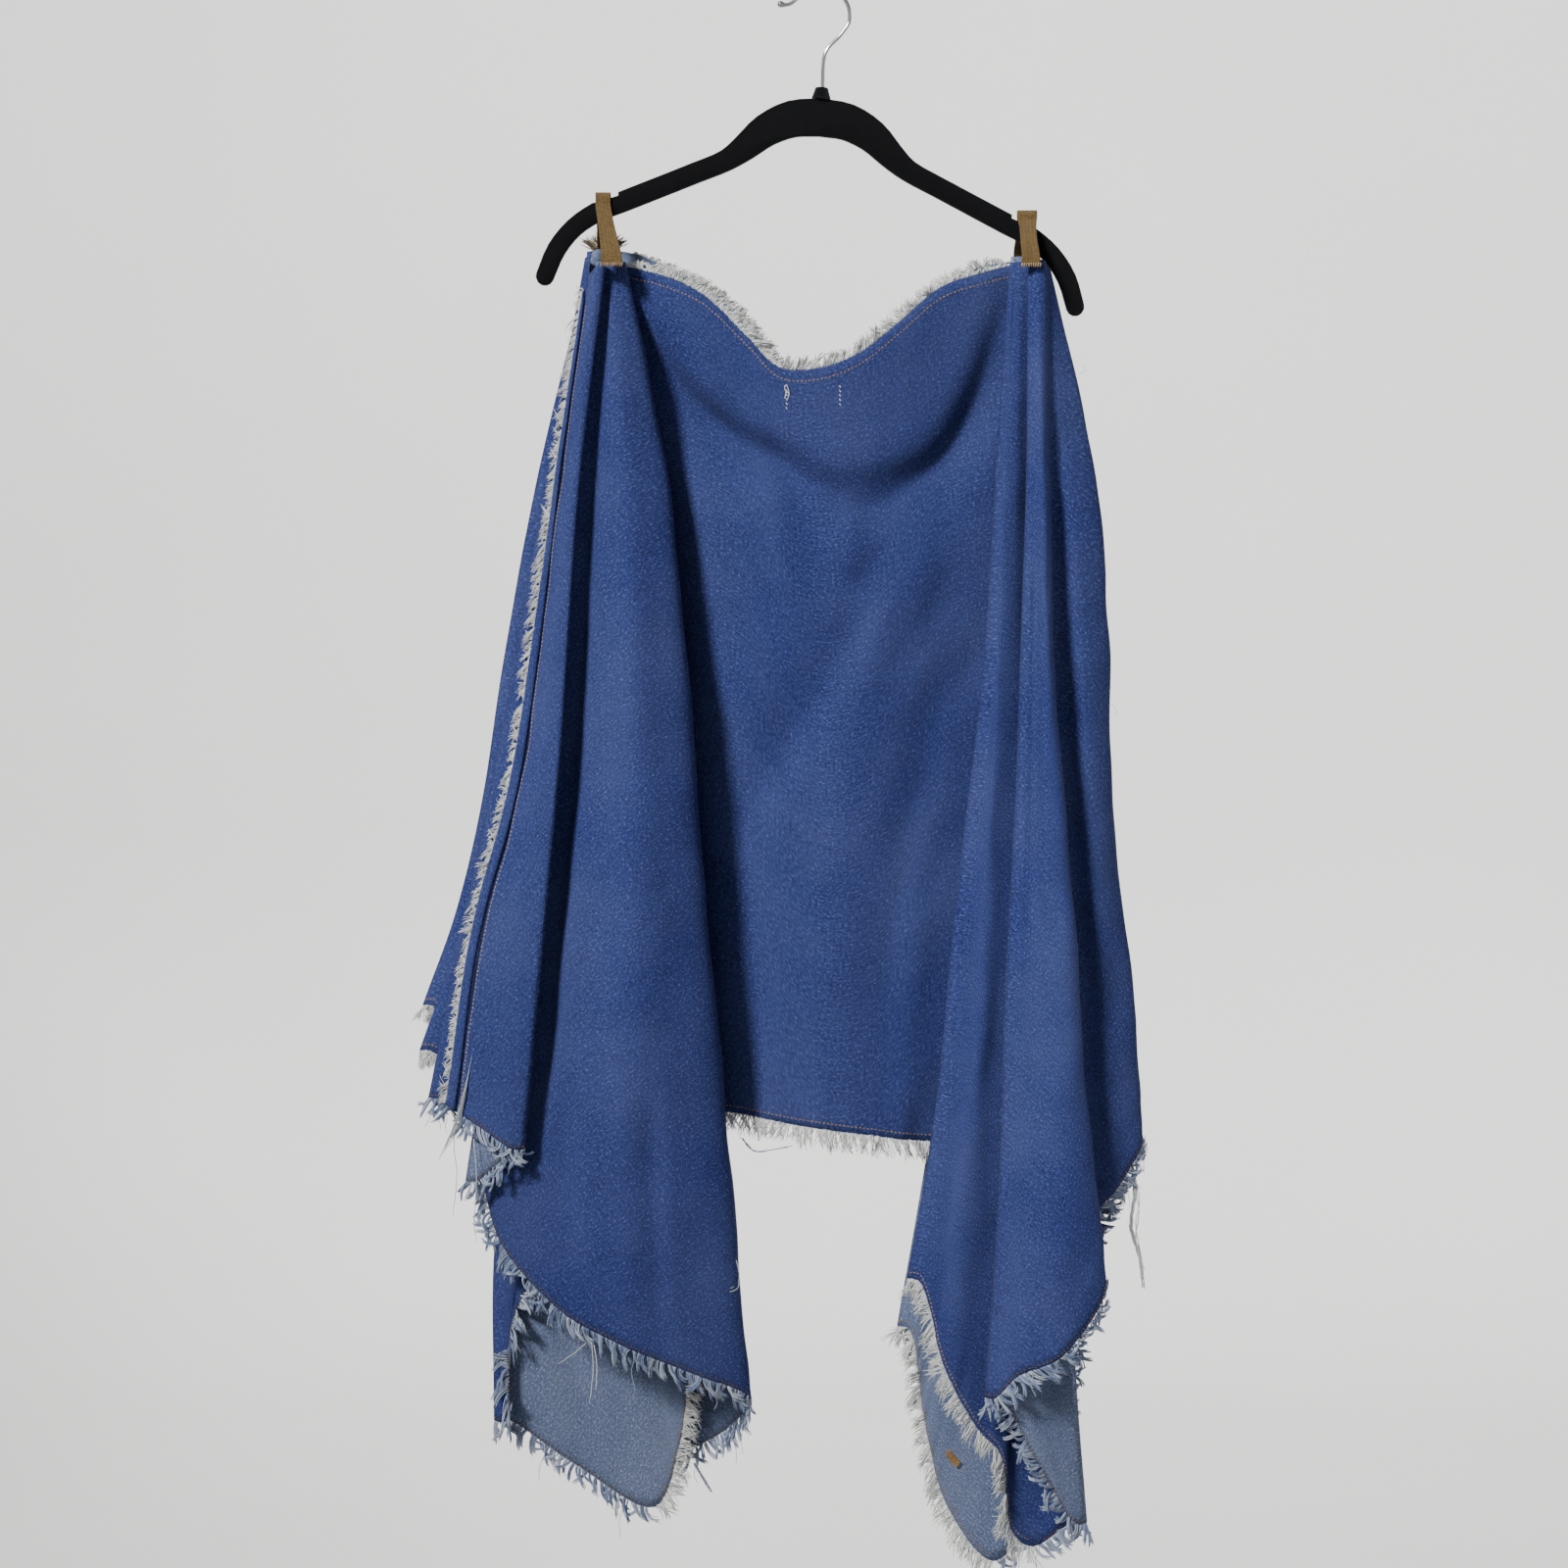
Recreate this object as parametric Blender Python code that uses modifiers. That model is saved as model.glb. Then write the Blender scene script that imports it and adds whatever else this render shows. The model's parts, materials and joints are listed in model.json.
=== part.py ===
"""Denim poncho with raw, frayed edges, hung by two tape loops on a flocked hanger.

The hook's bearing is the origin, +Z is up, and the garment's back faces -Y.
Cloth points are in millimetres: x to the right, y away from the back, z up.
Each panel is a loft through ribs, which run from its neck or a loop down to an edge.
"""
import math

import bmesh
import bpy
import numpy as np
from mathutils import Vector

MM = 0.001

# Driving dimensions, in millimetres.
CLOTH_WALL = 1.4
SEAM_GAP = 0.3
FRINGE_GAP = 0.9
TAPE_WALL = 1.5
FRINGE_WALL = 1.2
NECK_FRINGE_REACH = 12.0
HEM_FRINGE_REACH = 15.0
SIDE_FRINGE_REACH = 12.0
FRINGE_SPREAD = 4
SEAM_ALLOWANCE = 20.0
SEAM_INSET = 2.5
SEAM_LIFT = 2.4
PANEL_ROWS = 11
FOLD_TEST_ROW = 8
FOLD_HALF_GAP = 5.0
FOLD_SHARE = 0.4
FOLD_DEPTH = 9.0
FOLD_NEAR = 0.35

HANGER_TILT = math.radians(3.3)
HANGER_CENTRE = (0.5, 0.0, -90.0)
HANGER_THICKNESS = 6.0
HANGER_BEVEL = 1.0
HOOK_WIRE = 3.2
HOOK_RADIUS = 23.3
COLLAR_HEIGHT = 8.0
COLLAR_TOP_RADIUS = 5.0
COLLAR_BASE_RADIUS = 7.5
WIRE_SOCKET_DEPTH = 6.0

# The right half of the hanger: distance from the middle, height of the band's middle line, half band.
HANGER_STATIONS = [
    (0, -12, 14), (22, -14.5, 13.5), (42, -24.5, 12), (58, -39, 9.6), (72, -50, 7.6),
    (96, -61.5, 7.2), (126, -75.5, 7.2), (152, -87.5, 7.2), (172, -97, 6.8), (189, -110, 6.5),
    (202, -128, 6.5), (210, -150, 6.2),
]
NOTCH_STATION = 7
NOTCH_DEPTH = 2.6

# The back panel's ribs, from the left shoulder seam across to the right one.
BACK_RIBS = [
    # left shoulder seam, the first flap and its fold behind
    [(-181, -20, -229), (-204, -27, -400), (-232, -35, -620), (-263, -38, -745), (-284, -38, -885)],
    [(-176, -25, -224), (-197, -38, -400), (-217, -48, -610), (-240, -50, -760), (-258, -50, -900)],
    [(-169, -24, -220), (-189, -40, -400), (-202, -53, -600), (-214, -56, -740), (-230, -54, -912)],
    [(-172, -20, -219), (-193, -32, -400), (-213, -43, -600), (-235, -44, -760), (-252, -43, -925)],
    [(-176, -17, -219), (-197, -25, -400), (-226, -33, -600), (-256, -34, -800), (-277, -34, -939)],
    # the wide front flap of the left wing
    [(-173, -14, -218), (-183, -25, -400), (-198, -31, -600), (-228, -33, -850), (-250, -34, -987)],
    [(-169, -13.5, -218), (-171, -31, -400), (-174, -42, -600), (-193, -48, -850), (-203, -44, -1038)],
    [(-165, -13.5, -218), (-154, -39, -400), (-146, -58, -600), (-147, -64, -850), (-149, -56, -1066)],
    [(-161, -13, -218), (-137, -35, -400), (-121, -51, -600), (-111, -56, -850), (-98, -50, -1087)],
    [(-156, -11, -218), (-121, -24, -393), (-105, -36, -551), (-98, -39, -648), (-80, -39, -846),
     (-67, -38, -991), (-55, -34, -1108)],
    # the flap behind it, which holds the corner, and its fold back to the middle
    [(-154, -8, -218), (-133, -6, -320), (-122, -4, -400), (-107, -6, -560), (-97, -8, -700), (-82, -10, -850),
     (-71, -10, -1000), (-63, -8, -1128)],
    [(-157, -6, -218), (-143, 6, -310), (-137, 14, -400), (-123, 17, -600), (-105, 17, -850), (-90, 16, -1152)],
    [(-160, -5.5, -218), (-150, 7, -310), (-148, 16, -400), (-143, 19, -600), (-137, 20, -850), (-146, 19, -1172)],
    [(-163, -5, -218), (-156, 7, -310), (-157, 17, -400), (-166, 21, -600), (-183, 22, -850), (-198, 22, -1075)],
    [(-166, -3, -218), (-161, 9, -310), (-165, 20, -400), (-184, 26, -600), (-207, 28, -850), (-226, 28, -985)],
    [(-163, 0, -218), (-154, 14, -310), (-153, 24, -400), (-158, 32, -600), (-160, 35, -800), (-160, 35, -925)],
    [(-157, 1, -219), (-140, 10, -310), (-128, 17, -400), (-118, 24, -600), (-108, 26, -800), (-105, 24, -892)],
    # the middle, from the neck edge to the hem
    [(-128, -3, -226), (-100, 3, -400), (-90, 8, -600), (-78, 9, -800), (-72, 6, -889)],
    [(-95, -9, -241), (-66, -4, -420), (-58, 0, -600), (-48, 0, -800), (-42, -2, -894)],
    [(-58, -14, -276), (-36, -10, -440), (-30, -6, -600), (-24, -6, -800), (-20, -6, -898)],
    [(-33, -16, -301), (-12, -12, -450), (-6, -8, -600), (-2, -8, -800), (0, -8, -901)],
    [(-2, -17, -302), (14, -14, -450), (18, -9, -600), (22, -8, -800), (22, -8, -904)],
    [(30, -15, -290), (42, -13, -450), (44, -8, -600), (46, -6, -800), (45, -6, -907)],
    [(62, -12, -265), (70, -8, -440), (72, -4, -600), (70, -2, -800), (66, -2, -910)],
    [(95, -8, -237), (100, -2, -420), (98, 2, -600), (94, 4, -800), (90, 4, -912)],
    [(128, -4, -225), (130, 3, -400), (126, 8, -600), (124, 10, -800), (122, 10, -913)],
    [(157, 0, -218), (165, 4, -400), (168, 7, -600), (170, 7, -800), (170, 7, -912)],
    [(155, -4, -218), (153, -6, -400), (148, -8, -600), (138, -10, -800), (130, -10, -950)],
    # the inner fold of the right wing, which holds the corner
    [(150, -8, -218), (138, -17, -385), (128, -24, -536), (107, -28, -715), (89, -28, -892), (68, -26, -1017)],
    [(154, -11, -218), (144, -28, -400), (136, -37, -600), (122, -42, -850), (96, -42, -1083)],
    [(158, -12, -218), (153, -27, -400), (148, -33, -600), (138, -37, -850), (122, -37, -1132)],
    [(161, -12, -218), (159, -23, -400), (157, -29, -600), (154, -33, -850), (140, -35, -1152)],
    [(166, -11.5, -218), (167, -18, -400), (169, -21, -600), (170, -22, -850), (152, -19, -1219)],
    [(169, -11.5, -218), (172, -17, -400), (176, -20, -600), (182, -22, -850), (167, -18, -1228)],
    [(173, -13, -218), (178, -22, -400), (184, -28, -600), (191, -30, -850), (198, -30, -1073), (208, -28, -1207)],
    [(169, -17, -218), (171, -29, -400), (173, -38, -600), (173, -42, -850), (172, -42, -1163)],
    # the outer fold of the right wing, round to the right shoulder seam
    [(163, -20, -218), (161, -34, -381), (156, -46, -510), (151, -52, -640), (143, -56, -784), (138, -56, -940),
     (127, -53, -1104)],
    [(166, -24, -218), (167, -45, -400), (164, -61, -600), (160, -69, -850), (152, -70, -1085)],
    [(170, -26, -218), (172, -49, -400), (174, -69, -600), (181, -80, -850), (184, -79, -1069)],
    [(175, -25, -219), (176, -46, -400), (181, -64, -570), (193, -74, -707), (203, -76, -850), (219, -68, -1018)],
    [(177, -20, -221), (184, -33, -400), (191, -43, -600), (203, -49, -800), (208, -47, -974)],
    [(179, -16, -223), (198, -29, -400), (209, -37, -600), (222, -41, -800), (232, -37, -943)],
    [(181, -10, -225), (204, -16, -325), (219, -18, -410), (228, -20, -535), (232, -22, -650), (245, -24, -790),
     (252, -24, -910)],
    [(178, -4, -228), (200, -5, -330), (213, -4, -420), (220, -4, -535), (224, -4, -650), (237, -5, -790),
     (246, -5, -908)],
]

# The front panel's ribs, from the left shoulder seam across to the right one.
FRONT_RIBS = [
    # left shoulder seam and the flaps behind it
    [(-181.6, -19.2, -229), (-204.6, -26.2, -400), (-232.6, -34.2, -620), (-263.6, -37.2, -745),
     (-284.6, -37.2, -885)],
    [(-185, -11, -215), (-217, -17, -400), (-252, -23, -600), (-290, -25, -790), (-307, -25, -875)],
    [(-179, -7, -209), (-196, -13, -400), (-212, -18, -600), (-226, -20, -800), (-234, -20, -915)],
    [(-173, -4.5, -207), (-174, -10, -400), (-168, -15, -600), (-162, -16, -850), (-160, -16, -950)],
    [(-178, -1, -207), (-185, -6, -400), (-194, -10, -600), (-216, -11, -850), (-240, -12, -1045)],
    # the wide flap that shows its wrong side under the left wing
    [(-184, 1, -208), (-190, -3, -300), (-196, -5, -400), (-214, -6, -600), (-240, -6, -850), (-257, -6, -1000),
     (-257, -6, -1131)],
    [(-180, 3.5, -207), (-186, -1, -300), (-189, -3, -400), (-188, -3, -600), (-196, -2, -850), (-195, -2, -1166)],
    [(-176.5, 4.5, -206), (-181, 0, -300), (-181, -2, -400), (-166, -2, -600), (-146, -1, -850), (-131, -1, -1200)],
    [(-173.5, 5.5, -206), (-175, 1, -300), (-173, -1, -400), (-149, -1, -600), (-125, -1, -850), (-111, -1, -1150)],
    [(-170, 8.5, -206), (-169, 5, -300), (-163, 4, -400), (-134, 3, -600), (-108, 3, -850), (-90, 3, -1080)],
    # back to the outermost folds of the left wing
    [(-176, 12.5, -206), (-181, 9, -400), (-184, 8, -600), (-188, 8, -850), (-190, 8, -950)],
    [(-182, 15, -207), (-212, 12, -400), (-252, 11, -600), (-290, 12, -760), (-318, 13, -841)],
    [(-176, 18.5, -206), (-200, 17, -400), (-234, 17, -600), (-270, 19, -760), (-292, 20, -838)],
    [(-182, 22.5, -208), (-225, 23, -385), (-252, 25, -530), (-269, 27, -640), (-290, 28, -730), (-317, 28, -806)],
    [(-172, 25, -204), (-196, 31, -400), (-222, 37, -600), (-244, 40, -750), (-258, 40, -828)],
    # the middle, from the neck edge to the hem
    [(-150, 21, -206), (-158, 33, -400), (-172, 42, -600), (-184, 46, -750), (-190, 46, -840)],
    [(-111, 20, -222), (-114, 33, -400), (-122, 43, -600), (-128, 47, -750), (-130, 46, -848)],
    [(-72, 21, -248), (-70, 33, -400), (-70, 41, -600), (-70, 44, -750), (-68, 43, -854)],
    [(-36, 23, -300), (-32, 34, -440), (-28, 40, -600), (-26, 42, -750), (-24, 41, -857)],
    [(0, 24, -326), (4, 34, -450), (8, 40, -600), (10, 42, -750), (10, 41, -858)],
    [(36, 23, -304), (40, 34, -440), (46, 40, -600), (50, 43, -750), (50, 42, -857)],
    [(76, 20, -254), (80, 33, -400), (88, 42, -600), (96, 46, -750), (98, 45, -854)],
    [(118, 18, -223), (124, 32, -400), (136, 42, -600), (146, 47, -750), (150, 46, -850)],
    [(146, 18, -214), (156, 30, -400), (172, 40, -600), (184, 45, -750), (190, 44, -856)],
    [(169, 17, -211), (176, 27, -400), (190, 35, -600), (202, 39, -750), (210, 38, -880)],
    [(160, 13, -211), (156, 23, -400), (156, 31, -600), (156, 34, -750), (152, 34, -940)],
    # the flap that shows its wrong side under the right wing, round to the right shoulder seam
    [(152, 9.5, -211), (136, 19, -400), (119, 26, -600), (97, 28, -850), (62, 28, -1063)],
    [(155, 7, -211), (147, 15, -400), (135, 21, -600), (113, 23, -850), (84, 24, -1140)],
    [(158, 6, -211), (150, 15, -400), (141, 20, -600), (127, 22, -850), (102, 22, -1206)],
    [(161, 5.5, -211), (157, 15, -400), (152, 20, -600), (145, 22, -850), (139, 21, -1248)],
    [(166, 5.5, -211), (168, 17, -400), (170, 25, -600), (175, 28, -850), (183, 26, -1180)],
    [(171, 5, -212), (181, 15, -400), (188, 23, -600), (196, 25, -850), (205, 22, -1040)],
    [(177, 3, -217), (197, 8, -400), (207, 12, -600), (220, 12, -800), (227, 10, -958)],
    [(178.3, -3.2, -228), (200.3, -4.2, -330), (213.3, -3.2, -420), (220.3, -3.2, -535), (224.3, -3.2, -650),
     (237.3, -4.2, -790), (246.3, -4.2, -908)],
]

# Which spans of each panel's lower edge are hem, between its side edges.
BACK_HEM = (12, 33)
FRONT_HEM = (7, 29)
# Which spans of each panel's top edge are neck, between the loops.
BACK_NECK = (16, 26)
FRONT_NECK = (15, 23)

# Tape loops: middle line and half width, from the back panel over the arm to the front panel.
LEFT_LOOP = [
    (-163.5, -28.8, -223, 8.5), (-164, -27.6, -214, 8), (-166.5, -19.5, -200, 7), (-169.5, -11, -184, 6.2),
    (-171.5, -5, -172, 6), (-171.6, -4.6, -165, 6), (-171.8, -2.6, -162.2, 6), (-171.8, 2.6, -162.2, 6),
    (-171.6, 4.6, -165, 6), (-172, 5, -172, 6), (-171.5, 11, -182, 6),
    (-171.5, 21.5, -194, 6.2), (-171.5, 27.6, -204, 6.5), (-171.5, 29.2, -214, 6.5),
]
RIGHT_LOOP = [
    (164.5, -31.5, -224, 7.5), (164.3, -30, -215, 7), (163.5, -21, -203, 6.6), (163.5, -11, -191, 6.6),
    (163.5, -5, -184, 7.4), (163.5, -4.6, -179, 7.8), (163.5, -2.6, -176.4, 7.8), (163.5, 2.6, -176.4, 7.8),
    (163.3, 4.6, -179, 7.6), (163, 5, -184, 7), (162, 11, -192, 6.2),
    (160.5, 17.5, -202, 6), (160, 21.5, -211, 6), (160, 22.5, -218, 6),
]
# The frayed end of the left loop's tape: middle of its foot, its half width, and its fan's reach.
FRAY_FOOT = (-172, 31.2, -204)
FRAY_REACH = 17.0
FRAY_FOOT_HALF = 9.0
FRAY_TIP_HALF = 20.0


def remove_all_objects():
    for old in list(bpy.data.objects):
        bpy.data.objects.remove(old, do_unlink=True)


def make_material(name, colour, roughness, metallic=0.0):
    material = bpy.data.materials.new(name)
    material.use_nodes = True
    shader = material.node_tree.nodes["Principled BSDF"]
    shader.inputs["Base Color"].default_value = (*colour, 1.0)
    shader.inputs["Roughness"].default_value = roughness
    shader.inputs["Metallic"].default_value = metallic
    return material


def resample(points, fractions):
    """Points at fractions of the length of a smooth curve through a few points."""
    dense = smooth_row(np.array(points, dtype=float), 12)
    steps = np.linalg.norm(np.diff(dense, axis=0), axis=1)
    along = np.concatenate([[0.0], np.cumsum(steps)]) / steps.sum()
    return np.array([[np.interp(f, along, dense[:, axis]) for axis in range(3)] for f in fractions])


def smooth_row(knots, steps):
    """A centripetal Catmull-Rom curve through the knots, with a number of steps to each span."""
    ends = np.vstack([2 * knots[0] - knots[1], knots, 2 * knots[-1] - knots[-2]])
    row = []
    for before, start, stop, after in zip(ends, ends[1:], ends[2:], ends[3:]):
        t1 = np.linalg.norm(start - before) ** 0.5
        t2 = t1 + np.linalg.norm(stop - start) ** 0.5
        t3 = t2 + np.linalg.norm(after - stop) ** 0.5
        for step in range(steps):
            t = t1 + (t2 - t1) * step / steps
            a1 = ((t1 - t) * before + t * start) / t1
            a2 = ((t2 - t) * start + (t - t1) * stop) / (t2 - t1)
            a3 = ((t3 - t) * stop + (t - t2) * after) / (t3 - t2)
            b1 = ((t2 - t) * a1 + t * a2) / t2
            b2 = ((t3 - t) * a2 + (t - t1) * a3) / (t3 - t1)
            row.append(((t2 - t) * b1 + (t - t1) * b2) / (t2 - t1))
    row.append(knots[-1])
    return np.array(row)


def open_fold(before, tip, after):
    """The two points beside a fold's tip, set apart so that the cloth turns in a round bend."""
    inward = (before - tip) / np.linalg.norm(before - tip) + (after - tip) / np.linalg.norm(after - tip)
    inward[2] = 0.0
    inward /= np.linalg.norm(inward)
    across = np.array([-inward[1], inward[0], 0.0])
    apart = np.dot(before - after, across)
    half = np.clip(FOLD_SHARE * apart, -FOLD_HALF_GAP, FOLD_HALF_GAP)
    depth = min(FOLD_DEPTH, 0.35 * np.linalg.norm(before - tip), 0.35 * np.linalg.norm(after - tip))
    return tip + inward * depth + across * half, tip + inward * depth - across * half


class RowCurve:
    """One row across a panel: a smooth curve through its ribs, with a round bend at each fold."""

    def __init__(self, ribs, folds):
        knots, places = [], []
        for rib, point in enumerate(ribs):
            if folds[rib]:
                start, stop = open_fold(ribs[rib - 1], point, ribs[rib + 1])
                places.append((len(knots), len(knots) + 1, len(knots) + 2))
                knots += [start, point, stop]
            else:
                places.append((len(knots),))
                knots.append(point)
        steps = 10
        dense = smooth_row(np.array(knots), steps)
        along = np.concatenate([[0.0], np.cumsum(np.linalg.norm(np.diff(dense, axis=0), axis=1))])
        self.places = [[along[steps * knot] for knot in place] for place in places]
        self.arcs = along
        self.points = dense

    def at(self, arc):
        return np.array([np.interp(arc, self.arcs, self.points[:, axis]) for axis in range(3)])

    def column_arcs(self):
        """Where the panel's columns cross this row, and which of them lies on each rib."""
        arcs, rib_columns = [], []
        for rib, place in enumerate(self.places):
            if len(place) == 3:
                start, tip, stop = place
                arcs += [start, tip - FOLD_NEAR * (tip - start), tip + FOLD_NEAR * (stop - tip), stop]
            else:
                arcs.append(place[0])
            rib_columns.append(len(arcs) - 1)
            if rib + 1 < len(self.places):
                arcs.append((place[-1] + self.places[rib + 1][0]) / 2)
        return arcs, rib_columns


def find_folds(columns):
    """The ribs at which the cloth turns back on itself."""
    row = columns[:, FOLD_TEST_ROW, :2]
    turns = [np.dot(row[i] - row[i - 1], row[i + 1] - row[i]) < 0 for i in range(1, len(row) - 1)]
    return [False] + turns + [False]


def panel_grid(ribs):
    """Rows of points from the top of the panel to its lower edge, the rows' curves, and each rib's column."""
    fractions = np.linspace(0.0, 1.0, PANEL_ROWS + 1)
    columns = np.array([resample(rib, fractions) for rib in ribs])
    folds = find_folds(columns)
    curves = [RowCurve(columns[:, row], folds) for row in range(PANEL_ROWS + 1)]
    rows = [[curve.at(arc) for arc in curve.column_arcs()[0]] for curve in curves]
    return np.array(rows), curves, curves[0].column_arcs()[1]


def edge_strip(edge, inner, gap, reach, sag=0.0):
    """A two-row grid beside an edge: it goes on from the cloth, square to the edge."""
    along = np.gradient(edge, axis=0)
    along /= np.linalg.norm(along, axis=1)[:, None]
    out = edge - inner
    out -= along * np.sum(out * along, axis=1)[:, None]
    out /= np.linalg.norm(out, axis=1)[:, None]
    spread = np.ones(2 * FRINGE_SPREAD + 1)
    padded = np.vstack([out[:1]] * FRINGE_SPREAD + [out] + [out[-1:]] * FRINGE_SPREAD)
    out = np.column_stack([np.convolve(padded[:, axis], spread, mode="valid") for axis in range(3)])
    out /= np.linalg.norm(out, axis=1)[:, None]
    hang = out + np.array([0.0, 0.0, -sag])
    hang /= np.linalg.norm(hang, axis=1)[:, None]
    return np.array([edge + out * gap, edge + hang * reach])


def add_shell(name, rows, wall, material, collection):
    """An open grid of quads, given its wall by Solidify."""
    mesh = bpy.data.meshes.new(name)
    build = bmesh.new()
    verts = [[build.verts.new(point * MM) for point in row] for row in rows]
    for upper, lower in zip(verts, verts[1:]):
        for column in range(len(upper) - 1):
            build.faces.new((upper[column], lower[column], lower[column + 1], upper[column + 1]))
    build.to_mesh(mesh)
    build.free()
    mesh.shade_smooth()
    mesh.materials.append(material)
    piece = bpy.data.objects.new(name, mesh)
    collection.objects.link(piece)
    solidify = piece.modifiers.new("wall", "SOLIDIFY")
    solidify.thickness = wall * MM
    solidify.offset = 0.0
    solidify.use_even_offset = False
    return piece


def to_hanger_place(piece):
    piece.location = Vector(HANGER_CENTRE) * MM
    piece.rotation_euler = (0.0, HANGER_TILT, 0.0)


def hanger_outline():
    """The upper edge from left to right, then the lower edge back, as (x, z)."""
    half = smooth_row(np.array([(x, z, w) for x, z, w in HANGER_STATIONS], dtype=float), 3)
    middle, width = half[:, :2], half[:, 2]
    slope = np.gradient(middle, axis=0)
    slope /= np.linalg.norm(slope, axis=1)[:, None]
    normal = np.column_stack([-slope[:, 1], slope[:, 0]])
    normal[0] = (0.0, 1.0)
    upper = middle + normal * width[:, None]
    lower = middle - normal * width[:, None]
    notch = NOTCH_STATION * 3
    upper[notch + 1] = upper[notch] - normal[notch] * NOTCH_DEPTH + slope[notch] * 0.8
    upper[notch + 2] -= normal[notch + 2] * NOTCH_DEPTH * 0.6
    tip_turn = np.linspace(math.radians(60), math.radians(-60), 5)
    tip = [middle[-1] + width[-1] * (slope[-1] * math.cos(a) + normal[-1] * math.sin(a)) for a in tip_turn]
    right = list(upper) + tip + list(lower[::-1])
    left = [(-x, z) for x, z in reversed(right[1:-1])]
    return right + left


def build_hanger(material, collection):
    outline = bpy.data.curves.new("hanger", "CURVE")
    outline.dimensions = "2D"
    outline.fill_mode = "BOTH"
    outline.extrude = (HANGER_THICKNESS / 2 - HANGER_BEVEL) * MM
    outline.bevel_depth = HANGER_BEVEL * MM
    outline.bevel_resolution = 1
    points = hanger_outline()
    spline = outline.splines.new("POLY")
    spline.points.add(len(points) - 1)
    for point, (x, z) in zip(spline.points, points):
        point.co = (x * MM, z * MM, 0.0, 1.0)
    spline.use_cyclic_u = True
    outline.materials.append(material)
    hanger = bpy.data.objects.new("hanger", outline)
    collection.objects.link(hanger)
    hanger.location = Vector(HANGER_CENTRE) * MM
    hanger.rotation_euler = (math.radians(90), HANGER_TILT, 0.0)


def build_collar(material, collection):
    """A small cap, turned from a profile, that the hook's wire goes into."""
    base = HANGER_STATIONS[0][1] + HANGER_STATIONS[0][2] + HANGER_BEVEL + SEAM_GAP
    top = base + COLLAR_HEIGHT
    socket = HOOK_WIRE / 2 + SEAM_GAP
    profile = [
        (0.0, top - WIRE_SOCKET_DEPTH - SEAM_GAP), (socket, top - WIRE_SOCKET_DEPTH - SEAM_GAP), (socket, top),
        (COLLAR_TOP_RADIUS, top), (COLLAR_BASE_RADIUS, base), (0.0, base),
    ]
    mesh = bpy.data.meshes.new("hanger_collar")
    mesh.from_pydata([(x * MM, 0.0, z * MM) for x, z in profile],
                     [(i, i + 1) for i in range(len(profile) - 1)], [])
    mesh.materials.append(material)
    collar = bpy.data.objects.new("hanger_collar", mesh)
    collection.objects.link(collar)
    turn = collar.modifiers.new("turn", "SCREW")
    turn.steps = 32
    turn.render_steps = 32
    turn.use_merge_vertices = True
    turn.merge_threshold = 0.00001
    to_hanger_place(collar)
    return top


def build_hook(collar_top, material, collection):
    """Straight shank, a bend to the right, a round bight over the rail, and a flared ball tip."""
    centre = (0.0, HOOK_WIRE / 2 - HOOK_RADIUS)
    foot = Vector((0.0, 0.0, collar_top - WIRE_SOCKET_DEPTH))
    foot.rotate(bpy.data.objects["hanger_collar"].rotation_euler)
    foot += Vector(HANGER_CENTRE)
    route = [(foot.x, foot.z, 1.0), (foot.x + 0.7, foot.z + 12, 1.0), (3.2, -54, 1.0), (6.4, -47, 1.0), (15, -38, 1.0)]
    for turn in np.radians(np.linspace(-14, 146, 15)):
        x = centre[0] + HOOK_RADIUS * math.cos(turn)
        z = centre[1] + HOOK_RADIUS * math.sin(turn)
        route.append((x, z, 1.0))
    route += [(-23.4, -12, 1.0), (-27.5, -13, 1.0), (-30.2, -12.7, 1.6), (-32.2, -12.2, 1.6), (-33.6, -11.7, 0.9)]
    wire = bpy.data.curves.new("hook", "CURVE")
    wire.dimensions = "3D"
    wire.bevel_depth = HOOK_WIRE / 2 * MM
    wire.bevel_resolution = 3
    wire.use_fill_caps = True
    points = smooth_row(np.array(route), 2)
    spline = wire.splines.new("POLY")
    spline.points.add(len(points) - 1)
    for point, (x, z, radius) in zip(spline.points, points):
        point.co = (x * MM, 0.0, z * MM, 1.0)
        point.radius = radius
    wire.materials.append(material)
    hook = bpy.data.objects.new("hook", wire)
    collection.objects.link(hook)


def build_loop(name, line, material, collection):
    """A tape that runs over the arm, from one panel to the other."""
    middle = smooth_row(np.array(line, dtype=float), 2)
    rows = []
    for x, y, z, half in middle:
        rows.append(np.array([(x - half, y, z), (x, y, z), (x + half, y, z)]))
    add_shell(name, np.array(rows), TAPE_WALL, material, collection)


def build_fray(material, collection):
    """The loose fan of threads at the end of the left loop's tape."""
    foot = np.array(FRAY_FOOT)
    rows = []
    for share in (0.0, 0.5, 1.0):
        half = FRAY_FOOT_HALF + (FRAY_TIP_HALF - FRAY_FOOT_HALF) * share
        row = []
        for side in np.linspace(-1, 1, 7):
            lift = FRAY_REACH * share * (1 - 0.35 * side * side)
            row.append(foot + np.array([side * half, 0.0, lift]))
        rows.append(np.array(row))
    add_shell("loop_fray_left", np.array(rows), TAPE_WALL, material, collection)


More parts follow.
